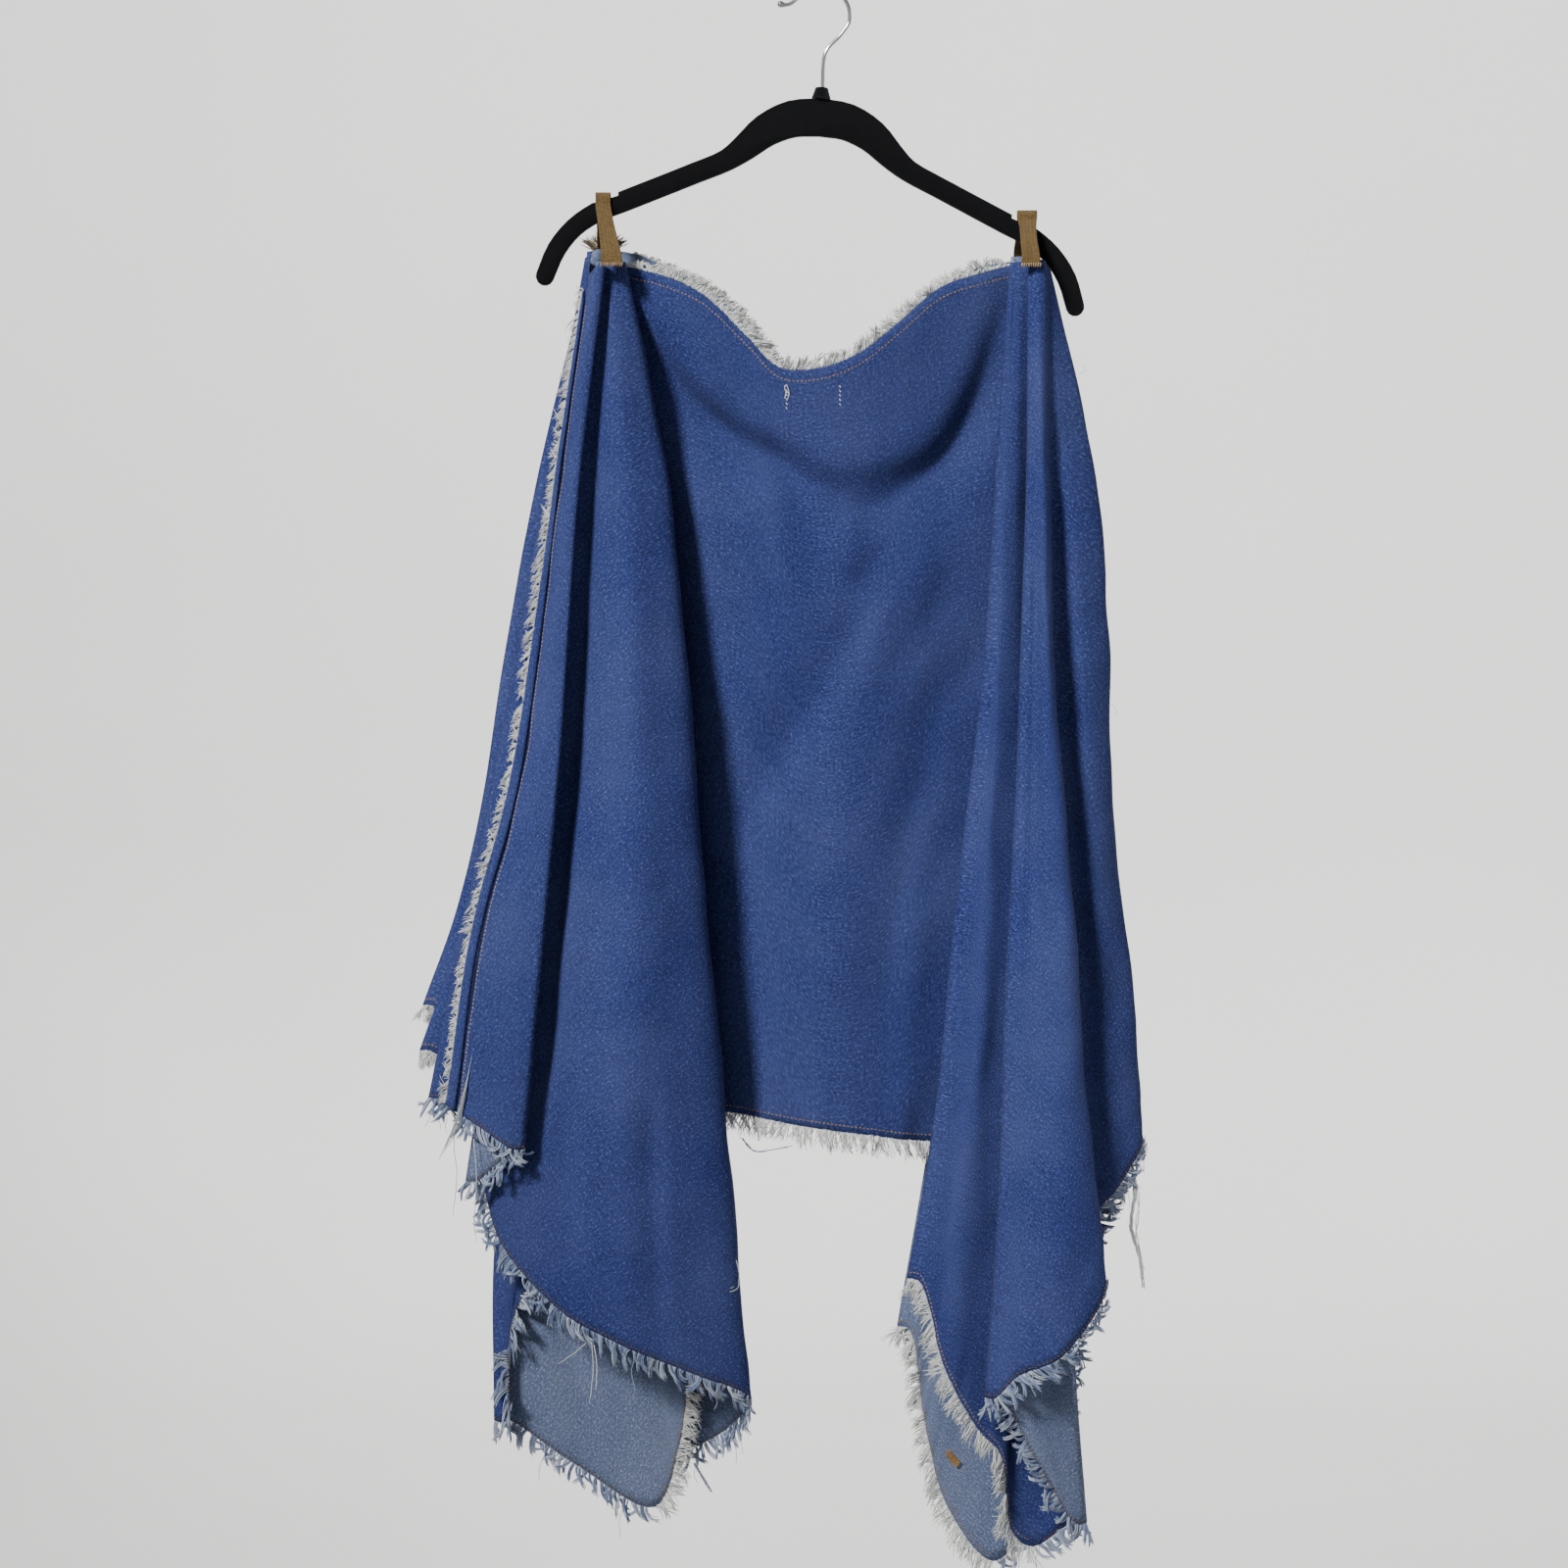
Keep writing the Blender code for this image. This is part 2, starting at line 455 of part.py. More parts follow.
def build_panels(denim, wrong_side, white_fringe, blue_fringe, collection):
    for side, ribs, hem, neck, cloth in (
        ("back", BACK_RIBS, BACK_HEM, BACK_NECK, denim),
        ("front", FRONT_RIBS, FRONT_HEM, FRONT_NECK, wrong_side),
    ):
        grid, curves, rib_columns = panel_grid(ribs)
        add_shell(f"{side}_panel", grid, CLOTH_WALL, cloth, collection)
        lower = edge_strip(grid[-1], grid[-2], FRINGE_GAP, HEM_FRINGE_REACH, sag=0.3)
        curls = edge_strip(grid[-1], grid[-2], FRINGE_GAP, SIDE_FRINGE_REACH, sag=0.3)
        upper = edge_strip(grid[0], grid[1], FRINGE_GAP, NECK_FRINGE_REACH)
        left_end, right_end = rib_columns[hem[0]], rib_columns[hem[1]]
        add_shell(f"{side}_hem_fringe", lower[:, left_end:right_end + 1], FRINGE_WALL, white_fringe, collection)
        add_shell(f"{side}_side_fringe_left", curls[:, 1:left_end], FRINGE_WALL, blue_fringe, collection)
        add_shell(f"{side}_side_fringe_right", curls[:, right_end + 1:-1], FRINGE_WALL, blue_fringe, collection)
        edge = slice(rib_columns[neck[0]], rib_columns[neck[1]] + 1)
        add_shell(f"{side}_neck_fringe", upper[:, edge], FRINGE_WALL, white_fringe, collection)
    build_seam("shoulder_seam_left", curves, 0.0, -1, white_fringe, collection)
    build_seam("shoulder_seam_right", curves, 1.0, 1, white_fringe, collection)


def build_seam(name, curves, end, side, material, collection):
    """The frayed seam allowance: a strip that lies on the front panel beside the shoulder seam."""
    rows = []
    for curve in curves[1:]:
        row = []
        for inset in np.linspace(SEAM_INSET, SEAM_ALLOWANCE, 4):
            arc = inset if end == 0.0 else curve.arcs[-1] - inset
            along = curve.at(arc + 1.0) - curve.at(arc - 1.0)
            out = np.array([along[1], -along[0], 0.0]) * side
            row.append(curve.at(arc) + out / np.linalg.norm(out) * SEAM_LIFT)
        rows.append(row)
    add_shell(name, np.array(rows), FRINGE_WALL, material, collection)


def main():
    remove_all_objects()
    collection = bpy.data.collections.new("denim_poncho_on_a_hanger")
    bpy.context.scene.collection.children.link(collection)
    denim = make_material("denim", (0.035, 0.085, 0.30), 0.9)
    wrong_side = make_material("denim_wrong_side", (0.14, 0.20, 0.36), 0.9)
    white_fringe = make_material("weft_fringe", (0.72, 0.76, 0.68), 0.95)
    blue_fringe = make_material("warp_fringe", (0.22, 0.28, 0.44), 0.95)
    tape = make_material("tan_tape", (0.26, 0.17, 0.07), 0.85)
    velvet = make_material("black_flock", (0.006, 0.006, 0.007), 1.0)
    chrome = make_material("chrome", (0.75, 0.75, 0.76), 0.12, metallic=1.0)

    build_hanger(velvet, collection)
    collar_top = build_collar(velvet, collection)
    build_hook(collar_top, chrome, collection)
    build_loop("loop_left", LEFT_LOOP, tape, collection)
    build_loop("loop_right", RIGHT_LOOP, tape, collection)
    build_fray(tape, collection)
    build_panels(denim, wrong_side, white_fringe, blue_fringe, collection)


main()
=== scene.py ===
"""A raw-edged denim poncho, hung by two tape loops from a flocked hanger.

The hook's bearing is the origin and +Z is up. The garment's back faces -Y.
Lengths are written in millimetres and turned into metres as each mesh is made.
"""
import json
import math

import bmesh
import bpy
import numpy as np
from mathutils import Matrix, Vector

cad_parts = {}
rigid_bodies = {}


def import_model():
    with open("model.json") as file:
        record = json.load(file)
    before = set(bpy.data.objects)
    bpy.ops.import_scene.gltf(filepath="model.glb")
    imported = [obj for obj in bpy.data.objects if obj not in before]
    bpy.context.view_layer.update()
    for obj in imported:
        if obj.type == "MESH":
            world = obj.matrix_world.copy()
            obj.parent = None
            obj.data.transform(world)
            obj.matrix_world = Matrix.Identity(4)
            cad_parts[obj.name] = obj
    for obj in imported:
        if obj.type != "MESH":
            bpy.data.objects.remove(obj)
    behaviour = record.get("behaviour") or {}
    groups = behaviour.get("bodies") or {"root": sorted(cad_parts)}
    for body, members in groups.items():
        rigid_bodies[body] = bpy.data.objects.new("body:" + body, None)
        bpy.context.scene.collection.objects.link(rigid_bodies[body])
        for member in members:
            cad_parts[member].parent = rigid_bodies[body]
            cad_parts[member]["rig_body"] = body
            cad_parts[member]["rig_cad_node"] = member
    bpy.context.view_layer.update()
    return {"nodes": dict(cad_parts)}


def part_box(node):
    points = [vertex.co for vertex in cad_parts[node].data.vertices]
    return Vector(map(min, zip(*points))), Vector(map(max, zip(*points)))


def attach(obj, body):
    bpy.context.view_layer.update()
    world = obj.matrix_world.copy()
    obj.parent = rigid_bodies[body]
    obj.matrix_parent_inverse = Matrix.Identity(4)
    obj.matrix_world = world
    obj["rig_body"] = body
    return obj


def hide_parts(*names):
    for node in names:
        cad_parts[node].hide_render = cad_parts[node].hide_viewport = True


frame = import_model()
bpy.ops.object.select_all(action="DESELECT")


# ---------------------------------------------------------------------------------------
# Hanger: a moulded body with black velvet flock over it, and the cap that holds its hook.
# The flock is glued on, so the body keeps its shape and only the surface is soft.
# ---------------------------------------------------------------------------------------
MM = 0.001


class Amount:
    """A number that varies over a surface. Arithmetic on it adds Math nodes."""

    def __init__(self, socket):
        self.socket = socket

    def _math(self, operation, first, second):
        tree = self.socket.id_data
        node = tree.nodes.new("ShaderNodeMath")
        node.operation = operation
        for place, term in enumerate((first, second)):
            if isinstance(term, Amount):
                tree.links.new(term.socket, node.inputs[place])
            else:
                node.inputs[place].default_value = term
        return Amount(node.outputs[0])

    def __add__(self, other):
        return self._math("ADD", self, other)

    def __radd__(self, other):
        return self._math("ADD", other, self)

    def __mul__(self, other):
        return self._math("MULTIPLY", self, other)

    def __rmul__(self, other):
        return self._math("MULTIPLY", other, self)

    def wave(self):
        return self._math("SINE", self, 0.0)


class Finish:
    """A material, with one method for any node that it needs."""

    def __init__(self, name, roughness, **fixed):
        self.material = bpy.data.materials.new(name)
        self.material.use_nodes = True
        self.tree = self.material.node_tree
        self.shader = self.tree.nodes["Principled BSDF"]
        self.shader.inputs["Roughness"].default_value = roughness
        for socket, value in fixed.items():
            self.shader.inputs[socket.replace("_", " ")].default_value = value

    def node(self, kind, output, settings=None, **sockets):
        node = self.tree.nodes.new(kind)
        for name, value in (settings or {}).items():
            setattr(node, name, value)
        for name, value in sockets.items():
            place = node.inputs[int(name[1:]) if name[1:].isdigit() else name.replace("_", " ")]
            self.feed(place, value)
        return Amount(node.outputs[output])

    def feed(self, place, value):
        if isinstance(value, Amount):
            self.tree.links.new(value.socket, place)
        else:
            place.default_value = value

    def noise(self, where, scale, detail=2.0, roughness=0.5):
        return self.node("ShaderNodeTexNoise", "Fac", Vector=where, Scale=scale, Detail=detail,
                         Roughness=roughness)

    def place(self, where, scale, turn=0.0):
        return self.node("ShaderNodeMapping", 0, Vector=where, Scale=scale, Rotation=(0, 0, turn))

    def between(self, share, first, second):
        return self.node("ShaderNodeMix", 2, {"data_type": "RGBA"}, i0=share, i6=(*first, 1), i7=(*second, 1))

    def tint(self, share, first, colour):
        return self.node("ShaderNodeMix", 2, {"data_type": "RGBA"}, i0=share, i6=first, i7=(*colour, 1))

    def clamp(self, value, low, high):
        return self.node("ShaderNodeMapRange", 0, Value=value, From_Min=low, From_Max=high)

    def show(self, colour=None, roughness=None, relief=None, depth=0.001, strength=0.6):
        if colour is not None:
            self.feed(self.shader.inputs["Base Color"], colour)
        if roughness is not None:
            self.feed(self.shader.inputs["Roughness"], roughness)
        if relief is not None:
            bump = self.node("ShaderNodeBump", 0, Height=relief, Distance=depth, Strength=strength)
            self.feed(self.shader.inputs["Normal"], bump)
        return self.material


def smooth_copy(node, name):
    """The CAD node's shape with its loose triangles joined, so that it can be shaded smooth."""
    piece = frame["nodes"][node].copy()
    piece.data = frame["nodes"][node].data.copy()
    piece.name = piece.data.name = name
    piece.parent = None
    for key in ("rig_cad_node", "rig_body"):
        if key in piece:
            del piece[key]
    bpy.context.scene.collection.objects.link(piece)
    shape = bmesh.new()
    shape.from_mesh(piece.data)
    bmesh.ops.remove_doubles(shape, verts=shape.verts, dist=0.00002)
    bmesh.ops.dissolve_limit(shape, angle_limit=0.01, verts=shape.verts, edges=shape.edges)
    shape.to_mesh(piece.data)
    shape.free()
    piece.data.materials.clear()
    bpy.ops.object.select_all(action="DESELECT")
    piece.select_set(True)
    bpy.context.view_layer.objects.active = piece
    bpy.ops.object.shade_smooth_by_angle(angle=math.radians(35))
    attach(piece, "root")
    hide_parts(node)
    return piece


def velvet_flock():
    flock = Finish("velvet_flock", 1.0, Sheen_Weight=0.25, Sheen_Roughness=0.5,
                   Sheen_Tint=(0.5, 0.52, 0.6, 1), Specular_IOR_Level=0.15)
    place = flock.node("ShaderNodeTexCoord", "Object")
    pile = flock.noise(place, 1600.0, 3.0, 0.7)
    lint = flock.clamp(flock.noise(place, 240.0, 4.0, 0.75), 0.62, 0.80)
    colour = flock.between(lint * 0.35 + pile * 0.25, (0.0018, 0.0018, 0.002), (0.017, 0.018, 0.021))
    return flock.show(colour, relief=pile, depth=0.0006, strength=0.7)


flock = velvet_flock()
for node, name in (("hanger", "flocked_hanger"), ("hanger_collar", "hook_cap")):
    body = smooth_copy(node, name)
    body.data.materials.append(flock)


# ---------------------------------------------------------------------------------------
# Hook: bright plated wire, bent cold, with a ball at its tip. Its foot goes into the cap.
# ---------------------------------------------------------------------------------------
HOOK_WIRE = 3.2
HOOK_RADIUS = 23.3
BALL_SHARE = 1.6


def link(name, data):
    """A new object with this data, at the origin."""
    piece = bpy.data.objects.new(name, data)
    bpy.context.scene.collection.objects.link(piece)
    return piece


def through(knots, steps):
    """Smooth curves through knots, one for each row of them, with a number of steps to a span."""
    first = 2 * knots[:, :1] - knots[:, 1:2]
    last = 2 * knots[:, -1:] - knots[:, -2:-1]
    ends = np.concatenate([first, knots, last], axis=1)
    gap = np.sqrt(np.linalg.norm(np.diff(ends, axis=1), axis=2, keepdims=True))
    before, start, stop, after = ends[:, :-3], ends[:, 1:-2], ends[:, 2:-1], ends[:, 3:]
    t1 = gap[:, :-2]
    t2 = t1 + gap[:, 1:-1]
    t3 = t2 + gap[:, 2:]
    rows = []
    for step in range(steps):
        t = t1 + (t2 - t1) * step / steps
        a1 = ((t1 - t) * before + t * start) / t1
        a2 = ((t2 - t) * start + (t - t1) * stop) / (t2 - t1)
        a3 = ((t3 - t) * stop + (t - t2) * after) / (t3 - t2)
        b1 = ((t2 - t) * a1 + t * a2) / t2
        b2 = ((t3 - t) * a2 + (t - t1) * a3) / (t3 - t1)
        rows.append(((t2 - t) * b1 + (t - t1) * b2) / (t2 - t1))
    curve = np.stack(rows, axis=2).reshape(len(knots), -1, 3)
    return np.concatenate([curve, knots[:, -1:]], axis=1)


def bend_wire():
    """The bent wire. Each point of its route is (x, z, thickness as a share of the wire's)."""
    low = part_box("hanger_collar")[1]
    route = [(low.x / MM - 6.5, low.z / MM - 5.8, 1.0), (3.2, -54, 1.0), (6.4, -47, 1.0), (15, -38, 1.0)]
    centre = HOOK_WIRE / 2 - HOOK_RADIUS
    for turn in np.radians(np.linspace(-14, 146, 15)):
        route.append((HOOK_RADIUS * math.cos(turn), centre + HOOK_RADIUS * math.sin(turn), 1))
    route += [(-23.4, -12, 1.0), (-27.5, -13, 1.0)]
    route += [(-30.2, -12.7, BALL_SHARE), (-32.2, -12.2, BALL_SHARE), (-33.6, -11.7, 0.9)]
    wire = bpy.data.curves.new("wire_hook", "CURVE")
    wire.dimensions = "3D"
    wire.bevel_depth = HOOK_WIRE / 2 * MM
    wire.bevel_resolution = 8
    wire.use_fill_caps = True
    points = through(np.array([route], dtype=float), 8)[0]
    spline = wire.splines.new("POLY")
    spline.points.add(len(points) - 1)
    for point, (x, z, radius) in zip(spline.points, points):
        point.co = (x * MM, 0.0, z * MM, 1.0)
        point.radius = radius
    hook = link("wire_hook", wire)
    bpy.ops.object.select_all(action="DESELECT")
    hook.select_set(True)
    bpy.context.view_layer.objects.active = hook
    bpy.ops.object.convert(target="MESH")
    bpy.ops.object.shade_smooth_by_angle(angle=math.radians(50))
    return bpy.context.view_layer.objects.active


def plated_wire():
    plate = Finish("plated_wire", 0.14, Metallic=1.0)
    place = plate.node("ShaderNodeTexCoord", "Object")
    smear = plate.noise(place, 90.0, 4.0, 0.6)
    colour = plate.between(smear, (0.62, 0.62, 0.64), (0.86, 0.86, 0.87))
    return plate.show(colour, roughness=0.07 + smear * 0.16)


hook = bend_wire()
hook.data.materials.append(plated_wire())
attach(hook, "root")
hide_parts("hook")


# ---------------------------------------------------------------------------------------
# Denim panels: the back and the front are cut alike, as wide wings on each side of a neck.
# Each hangs from the loops in deep folds, laid out by ribs that run from its top to an edge.
# The warp lies across the wings, dyed blue; the weft is white and shows on the wrong side.
# ---------------------------------------------------------------------------------------
CLOTH_WALL = 1.2
PANEL_ROWS = 90
COLUMN_PITCH = 5.4
FOLD_TEST = 8 / 11
FOLD_HALF_GAP = 5.0
FOLD_LEAST_GAP = 1.8
FOLD_SHARE = 0.4
FOLD_DEPTH = 9.0
FOLD_BESIDE = 0.12
FOLD_CALM = 0.92
FOLD_CALM_WIDTH = 0.3
MIDDLE_RIB = 20
# The cut of each panel: neck, two shoulders that slope by about 15 degrees, two open sides and a hem.
TWILL_PITCH = 0.00125

# The back panel's ribs, from the left shoulder seam across to the right one.
BACK_RIBS = [
    # left shoulder seam, the first flap and its fold behind
    [(-181, -20, -229), (-204, -27, -400), (-232, -35, -620), (-263, -38, -745), (-284, -38, -885)],
    [(-176, -25, -224), (-197, -38, -400), (-217, -48, -610), (-240, -50, -760), (-258, -50, -900)],
    [(-169, -24, -220), (-189, -40, -400), (-202, -53, -600), (-214, -56, -740), (-230, -54, -912)],
    [(-172, -20, -219), (-193, -32, -400), (-213, -43, -600), (-235, -44, -760), (-252, -43, -925)],
    [(-176, -17, -219), (-197, -25, -400), (-226, -33, -600), (-256, -34, -800), (-277, -34, -939)],
    # the wide front flap of the left wing
    [(-173, -14, -218), (-183, -25, -400), (-198, -31, -600), (-228, -33, -850), (-250, -34, -987)],
    [(-169, -13.5, -218), (-171, -31, -400), (-174, -42, -600), (-193, -48, -850), (-203, -44, -1038)],
    [(-165, -13.5, -218), (-154, -39, -400), (-146, -58, -600), (-147, -64, -850), (-149, -56, -1066)],
    [(-161, -13, -218), (-137, -35, -400), (-121, -51, -600), (-111, -56, -850), (-98, -50, -1087)],
    [(-156, -11, -218), (-121, -24, -393), (-105, -36, -551), (-98, -39, -648), (-80, -39, -846),
     (-67, -38, -991), (-55, -34, -1108)],
    # the flap behind it, which holds the corner, and its fold back to the middle
    [(-154, -8, -218), (-133, -6, -320), (-122, -4, -400), (-107, -6, -560), (-97, -8, -700),
     (-82, -10, -850),
     (-71, -10, -1000), (-63, -8, -1128)],
    [(-157, -6, -218), (-143, 6, -310), (-137, 14, -400), (-123, 17, -600), (-105, 17, -850),
     (-90, 16, -1152)],
    [(-160, -5.5, -218), (-150, 7, -310), (-148, 16, -400), (-143, 19, -600), (-137, 20, -850),
     (-146, 19, -1172)],
    [(-163, -5, -218), (-156, 7, -310), (-157, 17, -400), (-166, 21, -600), (-183, 22, -850),
     (-198, 22, -1075)],
    [(-166, -3, -218), (-161, 9, -310), (-165, 20, -400), (-184, 26, -600), (-207, 28, -850),
     (-226, 28, -985)],
    [(-163, 0, -218), (-154, 14, -310), (-153, 24, -400), (-158, 32, -600), (-160, 35, -800),
     (-160, 35, -925)],
    [(-157, 1, -219), (-140, 10, -310), (-128, 17, -400), (-118, 24, -600), (-108, 26, -800),
     (-105, 24, -892)],
    # the middle, from the neck edge to the hem
    [(-128, -3, -226), (-100, 3, -400), (-90, 8, -600), (-78, 9, -800), (-72, 6, -889)],
    [(-95, -9, -241), (-66, -4, -420), (-58, 0, -600), (-48, 0, -800), (-42, -2, -894)],
    [(-58, -14, -276), (-36, -10, -440), (-30, -6, -600), (-24, -6, -800), (-20, -6, -898)],
    [(-33, -16, -301), (-12, -12, -450), (-6, -8, -600), (-2, -8, -800), (0, -8, -901)],
    [(-2, -17, -302), (14, -14, -450), (18, -9, -600), (22, -8, -800), (22, -8, -904)],
    [(30, -15, -290), (42, -13, -450), (44, -8, -600), (46, -6, -800), (45, -6, -907)],
    [(62, -12, -265), (70, -8, -440), (72, -4, -600), (70, -2, -800), (66, -2, -910)],
    [(95, -8, -237), (100, -2, -420), (98, 2, -600), (94, 4, -800), (90, 4, -912)],
    [(128, -4, -225), (130, 3, -400), (126, 8, -600), (124, 10, -800), (122, 10, -913)],
    [(157, 0, -218), (165, 4, -400), (168, 7, -600), (170, 7, -800), (170, 7, -912)],
    [(155, -4, -218), (153, -6, -400), (148, -8, -600), (138, -10, -800), (130, -10, -950)],
    # the inner fold of the right wing, which holds the corner
    [(150, -8, -218), (138, -17, -385), (128, -24, -536), (107, -28, -715), (89, -28, -892),
     (68, -26, -1017)],
    [(154, -11, -218), (144, -28, -400), (136, -37, -600), (122, -42, -850), (96, -42, -1083)],
    [(158, -12, -218), (153, -27, -400), (148, -33, -600), (138, -37, -850), (122, -37, -1132)],
    [(161, -12, -218), (159, -23, -400), (157, -29, -600), (154, -33, -850), (140, -35, -1152)],
    [(166, -11.5, -218), (167, -18, -400), (169, -21, -600), (170, -22, -850), (152, -19, -1219)],
    [(169, -11.5, -218), (172, -17, -400), (176, -20, -600), (182, -22, -850), (167, -18, -1228)],
    [(173, -13, -218), (178, -22, -400), (184, -28, -600), (191, -30, -850), (198, -30, -1073),
     (208, -28, -1207)],
    [(169, -17, -218), (171, -29, -400), (173, -38, -600), (173, -42, -850), (172, -42, -1163)],
    # the outer fold of the right wing, round to the right shoulder seam
    [(163, -20, -218), (161, -34, -381), (156, -46, -510), (151, -52, -640), (143, -56, -784),
     (138, -56, -940),
     (127, -53, -1104)],
    [(166, -24, -218), (167, -45, -400), (164, -61, -600), (160, -69, -850), (152, -70, -1085)],
    [(170, -26, -218), (172, -49, -400), (174, -69, -600), (181, -80, -850), (184, -79, -1069)],
    [(175, -25, -219), (176, -46, -400), (181, -64, -570), (193, -74, -707), (203, -76, -850),
     (219, -68, -1018)],
    [(177, -20, -221), (184, -33, -400), (191, -43, -600), (203, -49, -800), (208, -47, -974)],
    [(179, -16, -223), (198, -29, -400), (209, -37, -600), (222, -41, -800), (232, -37, -943)],
    [(181, -10, -225), (204, -16, -325), (219, -18, -410), (228, -20, -535), (232, -22, -650),
     (245, -24, -790),
     (252, -24, -910)],
    [(178, -4, -228), (200, -5, -330), (213, -4, -420), (220, -4, -535), (224, -4, -650), (237, -5, -790),
     (246, -5, -908)],
]

# The front panel's ribs, from the left shoulder seam across to the right one.
FRONT_RIBS = [
    # left shoulder seam and the flaps behind it
    [(-181.6, -19.2, -229), (-204.6, -26.2, -400), (-232.6, -34.2, -620), (-263.6, -37.2, -745),
     (-284.6, -37.2, -885)],
    [(-185, -11, -215), (-217, -17, -400), (-252, -23, -600), (-290, -25, -790), (-307, -25, -875)],
    [(-179, -7, -209), (-196, -13, -400), (-212, -18, -600), (-226, -20, -800), (-234, -20, -915)],
    [(-173, -4.5, -207), (-174, -10, -400), (-168, -15, -600), (-162, -16, -850), (-160, -16, -950)],
    [(-178, -1, -207), (-185, -6, -400), (-194, -10, -600), (-216, -11, -850), (-240, -12, -1045)],
    # the wide flap that shows its wrong side under the left wing
    [(-184, 1, -208), (-190, -3, -300), (-196, -5, -400), (-214, -6, -600), (-240, -6, -850),
     (-257, -6, -1000),
     (-257, -6, -1131)],
    [(-180, 3.5, -207), (-186, -1, -300), (-189, -3, -400), (-188, -3, -600), (-196, -2, -850),
     (-195, -2, -1166)],
    [(-176.5, 4.5, -206), (-181, 0, -300), (-181, -2, -400), (-166, -2, -600), (-146, -1, -850),
     (-131, -1, -1200)],
    [(-173.5, 5.5, -206), (-175, 1, -300), (-173, -1, -400), (-149, -1, -600), (-125, -1, -850),
     (-111, -1, -1150)],
    [(-170, 8.5, -206), (-169, 5, -300), (-163, 4, -400), (-134, 3, -600), (-108, 3, -850),
     (-90, 3, -1080)],
    # back to the outermost folds of the left wing
    [(-176, 12.5, -206), (-181, 9, -400), (-184, 8, -600), (-188, 8, -850), (-190, 8, -950)],
    [(-182, 15, -207), (-212, 12, -400), (-252, 11, -600), (-290, 12, -760), (-318, 13, -841)],
    [(-176, 18.5, -206), (-200, 17, -400), (-234, 17, -600), (-270, 19, -760), (-292, 20, -838)],
    [(-182, 22.5, -208), (-225, 23, -385), (-252, 25, -530), (-269, 27, -640), (-290, 28, -730),
     (-317, 28, -806)],
    [(-172, 25, -204), (-196, 31, -400), (-222, 37, -600), (-244, 40, -750), (-258, 40, -828)],
    # the middle, from the neck edge to the hem
    [(-150, 21, -206), (-158, 33, -400), (-172, 42, -600), (-184, 46, -750), (-190, 46, -840)],
    [(-111, 20, -222), (-114, 33, -400), (-122, 43, -600), (-128, 47, -750), (-130, 46, -848)],
    [(-72, 21, -248), (-70, 33, -400), (-70, 41, -600), (-70, 44, -750), (-68, 43, -854)],
    [(-36, 23, -300), (-32, 34, -440), (-28, 40, -600), (-26, 42, -750), (-24, 41, -857)],
    [(0, 24, -326), (4, 34, -450), (8, 40, -600), (10, 42, -750), (10, 41, -858)],
    [(36, 23, -304), (40, 34, -440), (46, 40, -600), (50, 43, -750), (50, 42, -857)],
    [(76, 20, -254), (80, 33, -400), (88, 42, -600), (96, 46, -750), (98, 45, -854)],
    [(118, 18, -223), (124, 32, -400), (136, 42, -600), (146, 47, -750), (150, 46, -850)],
    [(146, 18, -214), (156, 30, -400), (172, 40, -600), (184, 45, -750), (190, 44, -856)],
    [(169, 17, -211), (176, 27, -400), (190, 35, -600), (202, 39, -750), (210, 38, -880)],
    [(160, 13, -211), (156, 23, -400), (156, 31, -600), (156, 34, -750), (152, 34, -940)],
    # the flap that shows its wrong side under the right wing, round to the right shoulder seam
    [(152, 9.5, -211), (136, 19, -400), (119, 26, -600), (97, 28, -850), (62, 28, -1063)],
    [(155, 7, -211), (147, 15, -400), (135, 21, -600), (113, 23, -850), (84, 24, -1140)],
    [(158, 6, -211), (150, 15, -400), (141, 20, -600), (127, 22, -850), (102, 22, -1206)],
    [(161, 5.5, -211), (157, 15, -400), (152, 20, -600), (145, 22, -850), (139, 21, -1248)],
    [(166, 5.5, -211), (168, 17, -400), (170, 25, -600), (175, 28, -850), (183, 26, -1180)],
    [(171, 5, -212), (181, 15, -400), (188, 23, -600), (196, 25, -850), (205, 22, -1040)],
    [(177, 3, -217), (197, 8, -400), (207, 12, -600), (220, 12, -800), (227, 10, -958)],
    [(178.3, -3.2, -228), (200.3, -4.2, -330), (213.3, -3.2, -420), (220.3, -3.2, -535),
     (224.3, -3.2, -650),
     (237.3, -4.2, -790), (246.3, -4.2, -908)],
]

